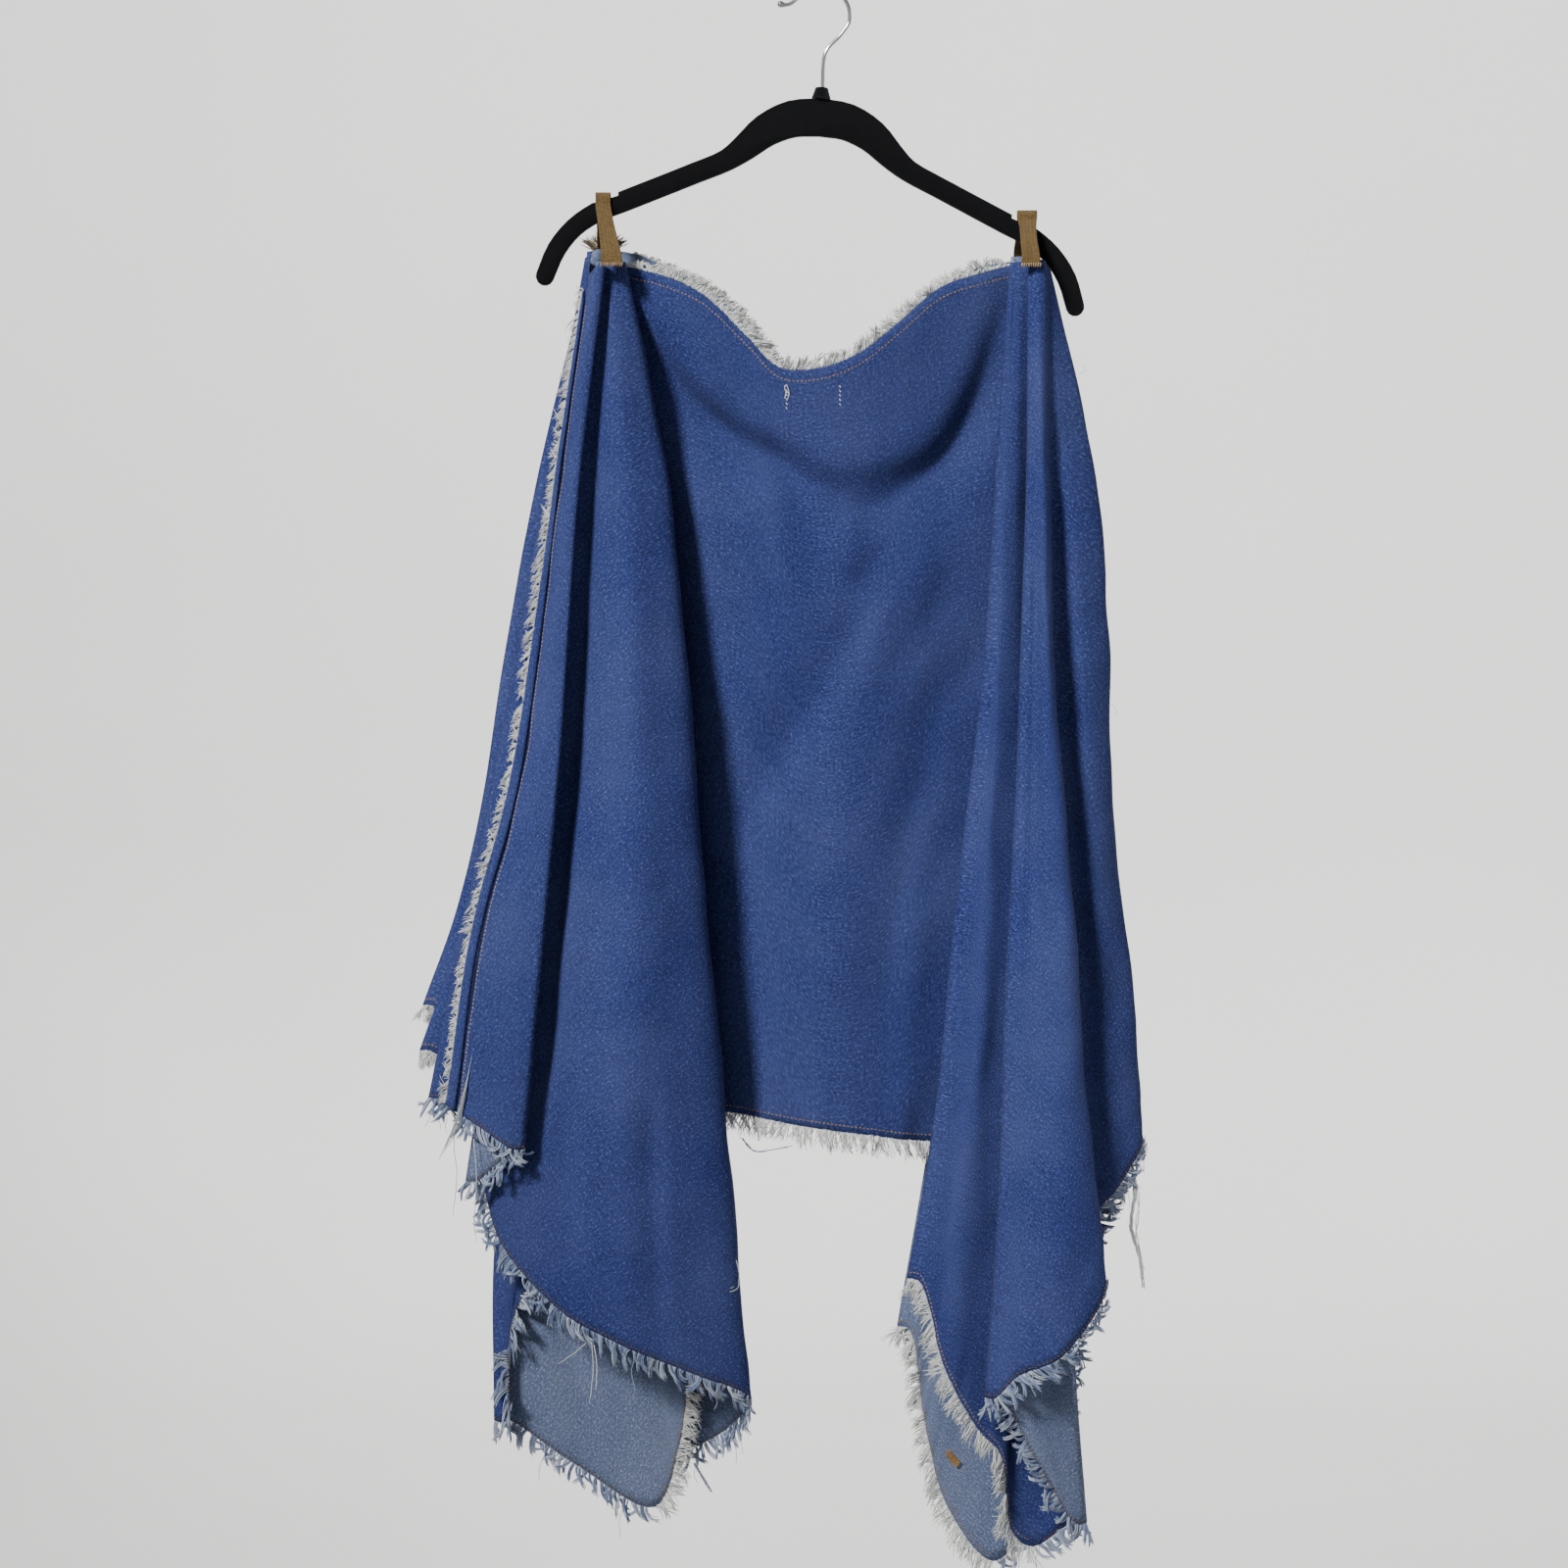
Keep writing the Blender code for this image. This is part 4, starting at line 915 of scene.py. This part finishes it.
seam_pieces = []
seam_paths = {}
for hand, turn, seed in (("left", -1, 61), ("right", 1, 62)):
    lines = seam_lines(front.rows, hand)
    off = seam_lines(front.normals(), hand)[0] * turn
    flap = np.array([inset_line(lines, inset) + off * ALLOWANCE_LIFT for inset in ALLOWANCE_INSETS])
    spread = np.concatenate([[0.0], np.cumsum(np.linalg.norm(np.diff(flap[0], axis=0), axis=1))]) * MM
    across = np.array(ALLOWANCE_INSETS)[:, None] * MM
    cut = np.stack(np.broadcast_arrays(spread, across), axis=2)
    if hand == "left":
        flap, cut = flap[::-1], cut[::-1]
    allowance = add_cloth(f"seam_allowance_{hand}", flap, cut, (right_side,), wall=1.0)
    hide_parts(f"shoulder_seam_{hand}")
    outer = flap[0] if hand == "left" else flap[-1]
    inner = flap[1] if hand == "left" else flap[-2]
    seam_edge = Edge(np.array([outer, inner]), pitch=0.8)
    threads = [straight_fringe(seam_edge, SEAM_FRINGE_REACH, sag=0.30, radius=0.34, seed=seed,
                               lean=0.7, lift=0.25, clump=4.0),
               straight_fringe(seam_edge, SEAM_FRINGE_REACH * 0.75, sag=0.45, radius=0.34, seed=seed + 5,
                               lean=0.8, lift=0.3, clump=3.0)]
    seam_fringe = sweep(f"seam_threads_{hand}", threads, weft_yarn)
    seam_pieces += [allowance, seam_fringe]


# ---------------------------------------------------------------------------------------
# Topstitching: tan thread, about 10 mm in from the neck, hem and sides, and beside the
# seams. Each stitch goes through the cloth, so it shows on both faces.
# ---------------------------------------------------------------------------------------
STITCH_PITCH = 3.2
STITCH_LENGTH = 2.7


def stitches(line, radius, tint):
    """Short rounded stitches along a line on the cloth's middle surface."""
    steps = np.linalg.norm(np.diff(line, axis=0), axis=1)
    span = np.concatenate([[0.0], np.cumsum(steps)])
    starts = np.arange(STITCH_PITCH, span[-1] - STITCH_PITCH, STITCH_PITCH)
    shares = np.array([0.0, 0.25, 0.75, 1.0])
    places = starts[:, None] + shares * STITCH_LENGTH
    lines = np.stack([np.interp(places, span, line[:, axis]) for axis in range(3)], axis=2)
    radii = radius * np.tile([0.4, 1.0, 1.0, 0.4], (len(starts), 1))
    return lines, radii, np.full(len(starts), tint)


def topstitch_lines(panel, hem, neck):
    """The lines of topstitching on a panel, each with its thread's tint."""
    last = panel.rows.shape[1] - 1
    yield inset_line(upper_lines(panel, neck), 9.0), 0.55
    yield inset_line(lower_lines(panel, slice(hem.start, hem.stop)), 5.0), 0.5
    yield inset_line(lower_lines(panel, slice(2, hem.start)), 2.2), 0.12
    yield inset_line(lower_lines(panel, slice(hem.stop, last - 1)), 2.2), 0.12


stitch_bundles = []
for _, panel, hem, neck in PANELS:
    for line, tint in topstitch_lines(panel, hem, neck):
        stitch_bundles.append(stitches(line, radius=1.0, tint=tint))
for hand in ("left", "right"):
    stitch_bundles.append(stitches(inset_line(seam_lines(back.rows, hand), 1.6), radius=0.9, tint=0.75))
thread_finish = cotton("tan_sewing_thread", (0.060, 0.034, 0.022), (0.31, 0.205, 0.115),
                       (0.66, 0.47, 0.28), 0.75)
topstitching = sweep("topstitching", stitch_bundles, thread_finish, sides=4)


# ---------------------------------------------------------------------------------------
# Tape loops: ribbed khaki tape over the hanger's arms, sewn to both panels. The left one's
# far end is frayed out into a tuft of brown threads.
# ---------------------------------------------------------------------------------------
TAPE_WALL = 1.3
TAPE_RIBS = 5
TUFT_THREADS = 190
# Middle line and half width of each loop, from the back panel over the arm to the front panel.
LEFT_LOOP = [
    (-163.5, -28.8, -223, 8.5), (-164, -27.6, -214, 8), (-166.5, -19.5, -200, 7), (-169.5, -11, -184, 6.2),
    (-171.5, -5, -172, 6), (-171.6, -4.6, -165, 6), (-171.8, -2.6, -162.2, 6), (-171.8, 2.6, -162.2, 6),
    (-171.6, 4.6, -165, 6), (-172, 5, -172, 6), (-171.5, 11, -182, 6),
    (-171.5, 21.5, -194, 6.2), (-171.5, 27.6, -204, 6.5), (-171.5, 29.2, -214, 6.5),
]
RIGHT_LOOP = [
    (164.5, -31.5, -224, 7.5), (164.3, -30, -215, 7), (163.5, -21, -203, 6.6), (163.5, -11, -191, 6.6),
    (163.5, -5, -184, 7.4), (163.5, -4.6, -179, 7.8), (163.5, -2.6, -176.4, 7.8), (163.5, 2.6, -176.4, 7.8),
    (163.3, 4.6, -179, 7.6), (163, 5, -184, 7), (162, 11, -192, 6.2),
    (160.5, 17.5, -202, 6), (160, 21.5, -211, 6), (160, 22.5, -218, 6),
]


def add_tape(name, line, material):
    """A closed strip whose two faces have lengthwise ribs."""
    knots = np.array([line], dtype=float)
    middle = through(knots[..., :3], 5)[0]
    half = through(np.concatenate([knots[..., 3:], np.zeros((1, len(line), 2))], axis=2)
                   + np.array([0, 1, 0]) * np.arange(len(line))[:, None], 5)[0][:, 0]
    forward = np.gradient(middle, axis=0)
    forward /= np.linalg.norm(forward, axis=1)[:, None]
    across = np.tile([1.0, 0.0, 0.0], (len(middle), 1))
    off = np.cross(across, forward)
    off /= np.linalg.norm(off, axis=1)[:, None]
    share = np.linspace(-1, 1, TAPE_RIBS * 6 + 1)
    rib = 0.62 + 0.38 * np.abs(np.sin((share + 1) / 2 * TAPE_RIBS * math.pi)) ** 0.7
    ring = [(s, r) for s, r in zip(share, rib)] + [(s, -r) for s, r in zip(share[::-1], rib[::-1])]
    points = np.array([[centre + a * s * h + o * r * TAPE_WALL / 2 for s, r in ring]
                       for centre, h, a, o in zip(middle, half, across, off)])
    rows, around = points.shape[:2]
    index = np.arange(rows * around).reshape(rows, around)
    after = np.roll(index, -1, axis=1)
    faces = np.stack([index[:-1], index[1:], after[1:], after[:-1]], axis=2).reshape(-1, 4).tolist()
    faces += [index[0].tolist(), index[-1, ::-1].tolist()]
    mesh = bpy.data.meshes.new(name)
    mesh.from_pydata((points.reshape(-1, 3) * MM).tolist(), [], faces)
    shape = bmesh.new()
    shape.from_mesh(mesh)
    bmesh.ops.recalc_face_normals(shape, faces=shape.faces)
    shape.to_mesh(mesh)
    shape.free()
    mesh.shade_smooth()
    mesh.materials.append(material)
    piece = link(name, mesh)
    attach(piece, "root")
    length = np.linalg.norm(np.diff(middle, axis=0), axis=1).sum() * MM
    return piece, length


def khaki_tape():
    tape = Finish("khaki_tape", 0.85, Sheen_Weight=0.15, Specular_IOR_Level=0.3)
    place = tape.node("ShaderNodeTexCoord", "Object")
    weave = tape.noise(tape.place(place, (500, 500, 1400)), 1.0, 2.0, 0.6)
    wear = tape.noise(place, 120.0, 3.0, 0.6)
    share = tape.clamp(weave, 0.3, 0.7) * 0.6 + wear * 0.4
    colour = tape.between(share, (0.060, 0.036, 0.010), (0.230, 0.145, 0.052))
    return tape.show(colour, relief=weave, depth=0.0005, strength=0.7)


tape_finish = khaki_tape()
for hand, line in (("left", LEFT_LOOP), ("right", RIGHT_LOOP)):
    loop, length = add_tape(f"tape_loop_{hand}", line, tape_finish)
    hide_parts(f"loop_{hand}")


def tape_tacks(line, x_half, z, y, count, seed):
    """Whip stitches over the raw foot of a tape."""
    random = np.random.default_rng(seed)
    lines, radii = [], []
    for x in line[0] + np.linspace(-x_half, x_half, count):
        lean = random.normal(0.3, 0.25)
        lines.append([(x - lean, y + 0.3, z - 1.8), (x - lean * 0.4, y - 0.7, z - 0.8),
                      (x + lean * 0.4, y - 0.7, z + 0.8), (x + lean, y + 0.3, z + 1.6)])
        radii.append([0.3, 0.5, 0.5, 0.3])
    return np.array(lines), np.array(radii), random.uniform(0.65, 1.0, count)


tacks = [tape_tacks(LEFT_LOOP[0], x_half=8.2, z=-222.6, y=-29.8, count=11, seed=71),
         tape_tacks(RIGHT_LOOP[0], x_half=7.2, z=-223.4, y=-32.4, count=9, seed=72)]
tape_stitches = sweep("tape_stitches", tacks, thread_finish, sides=5)


def tape_tuft():
    """The frayed end: coarse brown threads that fan upward and out to both sides."""
    random = np.random.default_rng(73)
    low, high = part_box("loop_fray_left")
    foot = np.array([(low.x + high.x) / 2, high.y, low.z]) / MM
    share = np.linspace(0, 1, 7)
    lines, radii = [], []
    for _ in range(TUFT_THREADS):
        side = random.uniform(-1, 1)
        reach = 16.5 * (1 - 0.3 * side * side) * random.uniform(0.55, 1.0)
        start = foot + np.array([side * 8.5, random.uniform(-1.2, 0.4), random.uniform(0, 3)])
        sway = random.normal(0, 0.25)
        line = start + np.column_stack([
            (side * 9.5 + sway * 6) * share ** 1.2 + 0.8 * np.sin(share * random.uniform(4, 11)),
            random.normal(-0.3, 0.9) * share,
            reach * share * (1 - 0.18 * abs(side) * share)])
        lines.append(line)
        radii.append(0.33 * random.uniform(0.7, 1.3) * np.interp(share, [0, 0.8, 1], [1, 0.9, 0.4]))
    return np.array(lines), np.array(radii), random.uniform(0, 1, TUFT_THREADS)


brown_yarn = cotton("brown_tape_yarn", (0.050, 0.030, 0.018), (0.185, 0.115, 0.055), (0.42, 0.31, 0.18))
tuft = sweep("frayed_tape_end", [tape_tuft()], brown_yarn)
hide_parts("loop_fray_left")


# ---------------------------------------------------------------------------------------
# Loose threads: tacks where a label was sewn inside the back neck, a mustard bar tack at a
# hem, and long twisted ends that hang from the frayed edges.
# ---------------------------------------------------------------------------------------
def hanging(points, radius, tint, strands=1, twist=0.0, seed=1):
    """A thread, or a few twisted together, along a given route."""
    random = np.random.default_rng(seed)
    route = through(np.array([points], dtype=float), 6)[0]
    share = np.linspace(0, 1, len(route))
    lines, radii = [], []
    for strand in range(strands):
        phase = 2 * math.pi * strand / strands
        wind = share * twist + phase
        reach = 0.75 * radius * (strands > 1) + 0.5
        loose = np.column_stack([np.cos(wind) * reach, np.sin(wind) * reach, np.zeros(len(share))])
        loose += random.normal(0, 0.12, loose.shape)
        lines.append(route + loose * np.interp(share, [0, 0.1, 1], [0.2, 1, 1])[:, None])
        radii.append(radius * np.interp(share, [0, 0.85, 1], [1, 0.9, 0.5]))
    return np.array(lines), np.array(radii), np.full(strands, tint)


def onto_back(x, z, lift=0.9):
    """The place on the back panel's middle, in front of its face, at a given x and z."""
    columns = back.columns_between(16.4, 26)
    patch = back.rows[:, columns].reshape(-1, 3)
    nearest = np.argsort((patch[:, 0] - x) ** 2 + (patch[:, 2] - z) ** 2)[:4]
    return (x, patch[nearest, 1].mean() - lift, z)


label_threads = []
for top, foot, x in ((-319, -333, -27), (-316, -330, 15)):
    for z in np.linspace(top, foot, 5):
        tack = [onto_back(x - 0.4, z), onto_back(x, z - 0.8, 1.2), onto_back(x + 0.3, z - 1.6)]
        label_threads.append(hanging(tack, 0.36, 1.0))
high_curl = [onto_back(-27, -322), onto_back(-28.6, -318, 2.6), onto_back(-27.4, -315.5, 3.2),
             onto_back(-25.8, -319, 2.6), onto_back(-24.6, -324, 1.2)]
low_curl = [onto_back(-28.2, -326), onto_back(-27.2, -321, 1.6), onto_back(-25.4, -322.5, 1.6),
            onto_back(-26.4, -327, 1.2)]
label_threads += [hanging(high_curl, 0.36, 1.0), hanging(low_curl, 0.4, 1.0)]
label_tacks = sweep("label_tacks", label_threads, weft_yarn, sides=4)

long_threads = [
    hanging([(243, -24, -920), (246, -26, -950), (243, -26, -975), (250, -25, -1000), (253, -25, -1024)],
            0.75, 0.9, 3, 22),
    hanging([(246, -25, -935), (249, -27, -958), (247, -27, -980), (253, -26, -1010)], 0.55, 1.0, 2, 12, 2),
    hanging([(-66, -40, -1000), (-64, -42, -1012), (-66, -43, -1022), (-78, -43, -1024), (-76, -43, -1019),
             (-72, -43, -1022), (-68, -42, -1020)], 0.26, 0.95),
    hanging([(-178, -54, -1062), (-177, -56, -1085), (-180, -56, -1108)], 0.34, 1.0),
    hanging([(-176, -54, -1064), (-174, -56, -1082), (-175, -56, -1098)], 0.34, 1.0),
    hanging([(-182, -54, -1062), (-192, -56, -1070), (-204, -56, -1078)], 0.34, 0.9),
    hanging([(-282, -40, -880), (-286, -42, -905), (-284, -42, -935), (-287, -42, -965)], 0.32, 0.6),
    hanging([(-270, -46, -905), (-268, -48, -940), (-270, -48, -970), (-268, -48, -985)], 0.32, 0.9),
    hanging([(-100, -3, -1165), (-92, -4, -1178), (-86, -4, -1188)], 0.5, 0.15, 3, 14),
    hanging([(-62, -9, -908), (-52, -11, -918), (-38, -11, -917), (-22, -10, -914)], 0.42, 0.2, 2, 18),
    hanging([(204, -30, -300), (206, -31, -306), (201, -31, -309)], 0.24, 0.9),
    hanging([(228, -22, -566), (232, -23, -572), (231, -23, -576)], 0.24, 0.9),
]
for number in range(12):
    x = -274 - 0.9 * number
    strand = [(x + 6, -40, -820 - 5 * number), (x - 2, -42, -862 - 3 * number),
              (x - 8 - 0.6 * number, -41, -900 - 2 * number)]
    long_threads.append(hanging(strand, 0.3, 0.55 + 0.035 * number, seed=number))
loose_yarn = cotton("loose_yarn", (0.09, 0.12, 0.24), (0.42, 0.48, 0.52), (0.84, 0.86, 0.84))
loose_threads = sweep("loose_threads", long_threads, loose_yarn, sides=4)

bar = []
for number in range(9):
    x, z = 101 + 1.05 * number, -1161 - 1.2 * number
    stitch = [(x - 1.5, 19.5, z - 2.4), (x, 18.9, z), (x + 1.4, 19.5, z + 2.2)]
    bar.append(hanging(stitch, 0.5, 0.3 + 0.06 * number))
mustard = cotton("mustard_thread", (0.30, 0.13, 0.008), (0.55, 0.26, 0.012), (0.72, 0.42, 0.05))
bar_tack = sweep("bar_tack", bar, mustard, sides=4)


# ---------------------------------------------------------------------------------------
# Setting: a plain pale floor that curves up to a plain wall all round, and soft lights.
# ---------------------------------------------------------------------------------------
FLOOR_LEVEL = -1.95
FLOOR_RADIUS = 4.6
WALL_HEIGHT = 4.2
CURVE_RADIUS = 1.2
GARMENT_MIDDLE = Vector((0.0, 0.0, -0.6))
WALL_MIDDLE = Vector((-0.6, 5.8, -0.9))


def add_setting():
    """The floor and wall, as one round dish."""
    profile = [(0.0, 0.0), (FLOOR_RADIUS, 0.0)]
    for turn in np.radians(np.linspace(-80, 0, 9)):
        profile.append((FLOOR_RADIUS + CURVE_RADIUS * math.cos(turn),
                        CURVE_RADIUS + CURVE_RADIUS * math.sin(turn)))
    profile.append((FLOOR_RADIUS + CURVE_RADIUS, WALL_HEIGHT))
    steps = 96
    verts, faces = [(0.0, 0.0, FLOOR_LEVEL)], []
    for x, z in profile[1:]:
        for step in range(steps):
            turn = 2 * math.pi * step / steps
            verts.append((x * math.cos(turn), x * math.sin(turn), FLOOR_LEVEL + z))
    for step in range(steps):
        after = (step + 1) % steps
        faces.append((0, 1 + step, 1 + after))
        for ring in range(len(profile) - 2):
            base = 1 + ring * steps
            faces.append((base + step, base + steps + step, base + steps + after, base + after))
    mesh = bpy.data.meshes.new("floor")
    mesh.from_pydata(verts, [], faces)
    mesh.shade_smooth()
    paper = Finish("pale_paper", 0.95)
    place = paper.node("ShaderNodeTexCoord", "Object")
    colour = paper.between(paper.noise(place, 1.5, 2.0), (0.69, 0.68, 0.67), (0.74, 0.73, 0.72))
    mesh.materials.append(paper.show(colour))
    link("floor", mesh)


def add_light(kind, name, place, towards, strength, **shape):
    """A light at a place, turned towards a point."""
    lamp = bpy.data.lights.new(name, kind)
    lamp.energy = strength
    for setting, value in shape.items():
        setattr(lamp, setting, value)
    light = link(name, lamp)
    light.location = place
    light.rotation_euler = (towards - Vector(place)).to_track_quat("-Z", "Y").to_euler()


add_setting()
add_light("SUN", "key", (-1.8, -2.4, 1.3), GARMENT_MIDDLE, 4.1, angle=math.radians(11))
add_light("SUN", "back_fill", (1.2, 2.8, 2.0), GARMENT_MIDDLE, 0.35, angle=math.radians(40))
add_light("AREA", "wall_light", (-0.4, 2.2, 2.3), WALL_MIDDLE, 190, size=3.0)
world = bpy.data.worlds.new("studio")
world.use_nodes = True
sky = world.node_tree.nodes["Background"]
sky.inputs["Color"].default_value = (0.93, 0.94, 1.0, 1)
sky.inputs["Strength"].default_value = 0.17
bpy.context.scene.world = world

# The camera looks straight at the garment's back, at the height of its middle.
CAMERA_DISTANCE = 2.7
SEEN_WIDTH = 1.24
SENSOR_WIDTH = 36.0
camera_data = bpy.data.cameras.new("camera")
camera_data.sensor_width = SENSOR_WIDTH
camera_data.lens = SENSOR_WIDTH * CAMERA_DISTANCE / SEEN_WIDTH
camera = link("camera", camera_data)
camera.location = (-0.0287, -CAMERA_DISTANCE, -0.629)
camera.rotation_euler = (math.radians(90), 0.0, 0.0)
bpy.context.scene.camera = camera
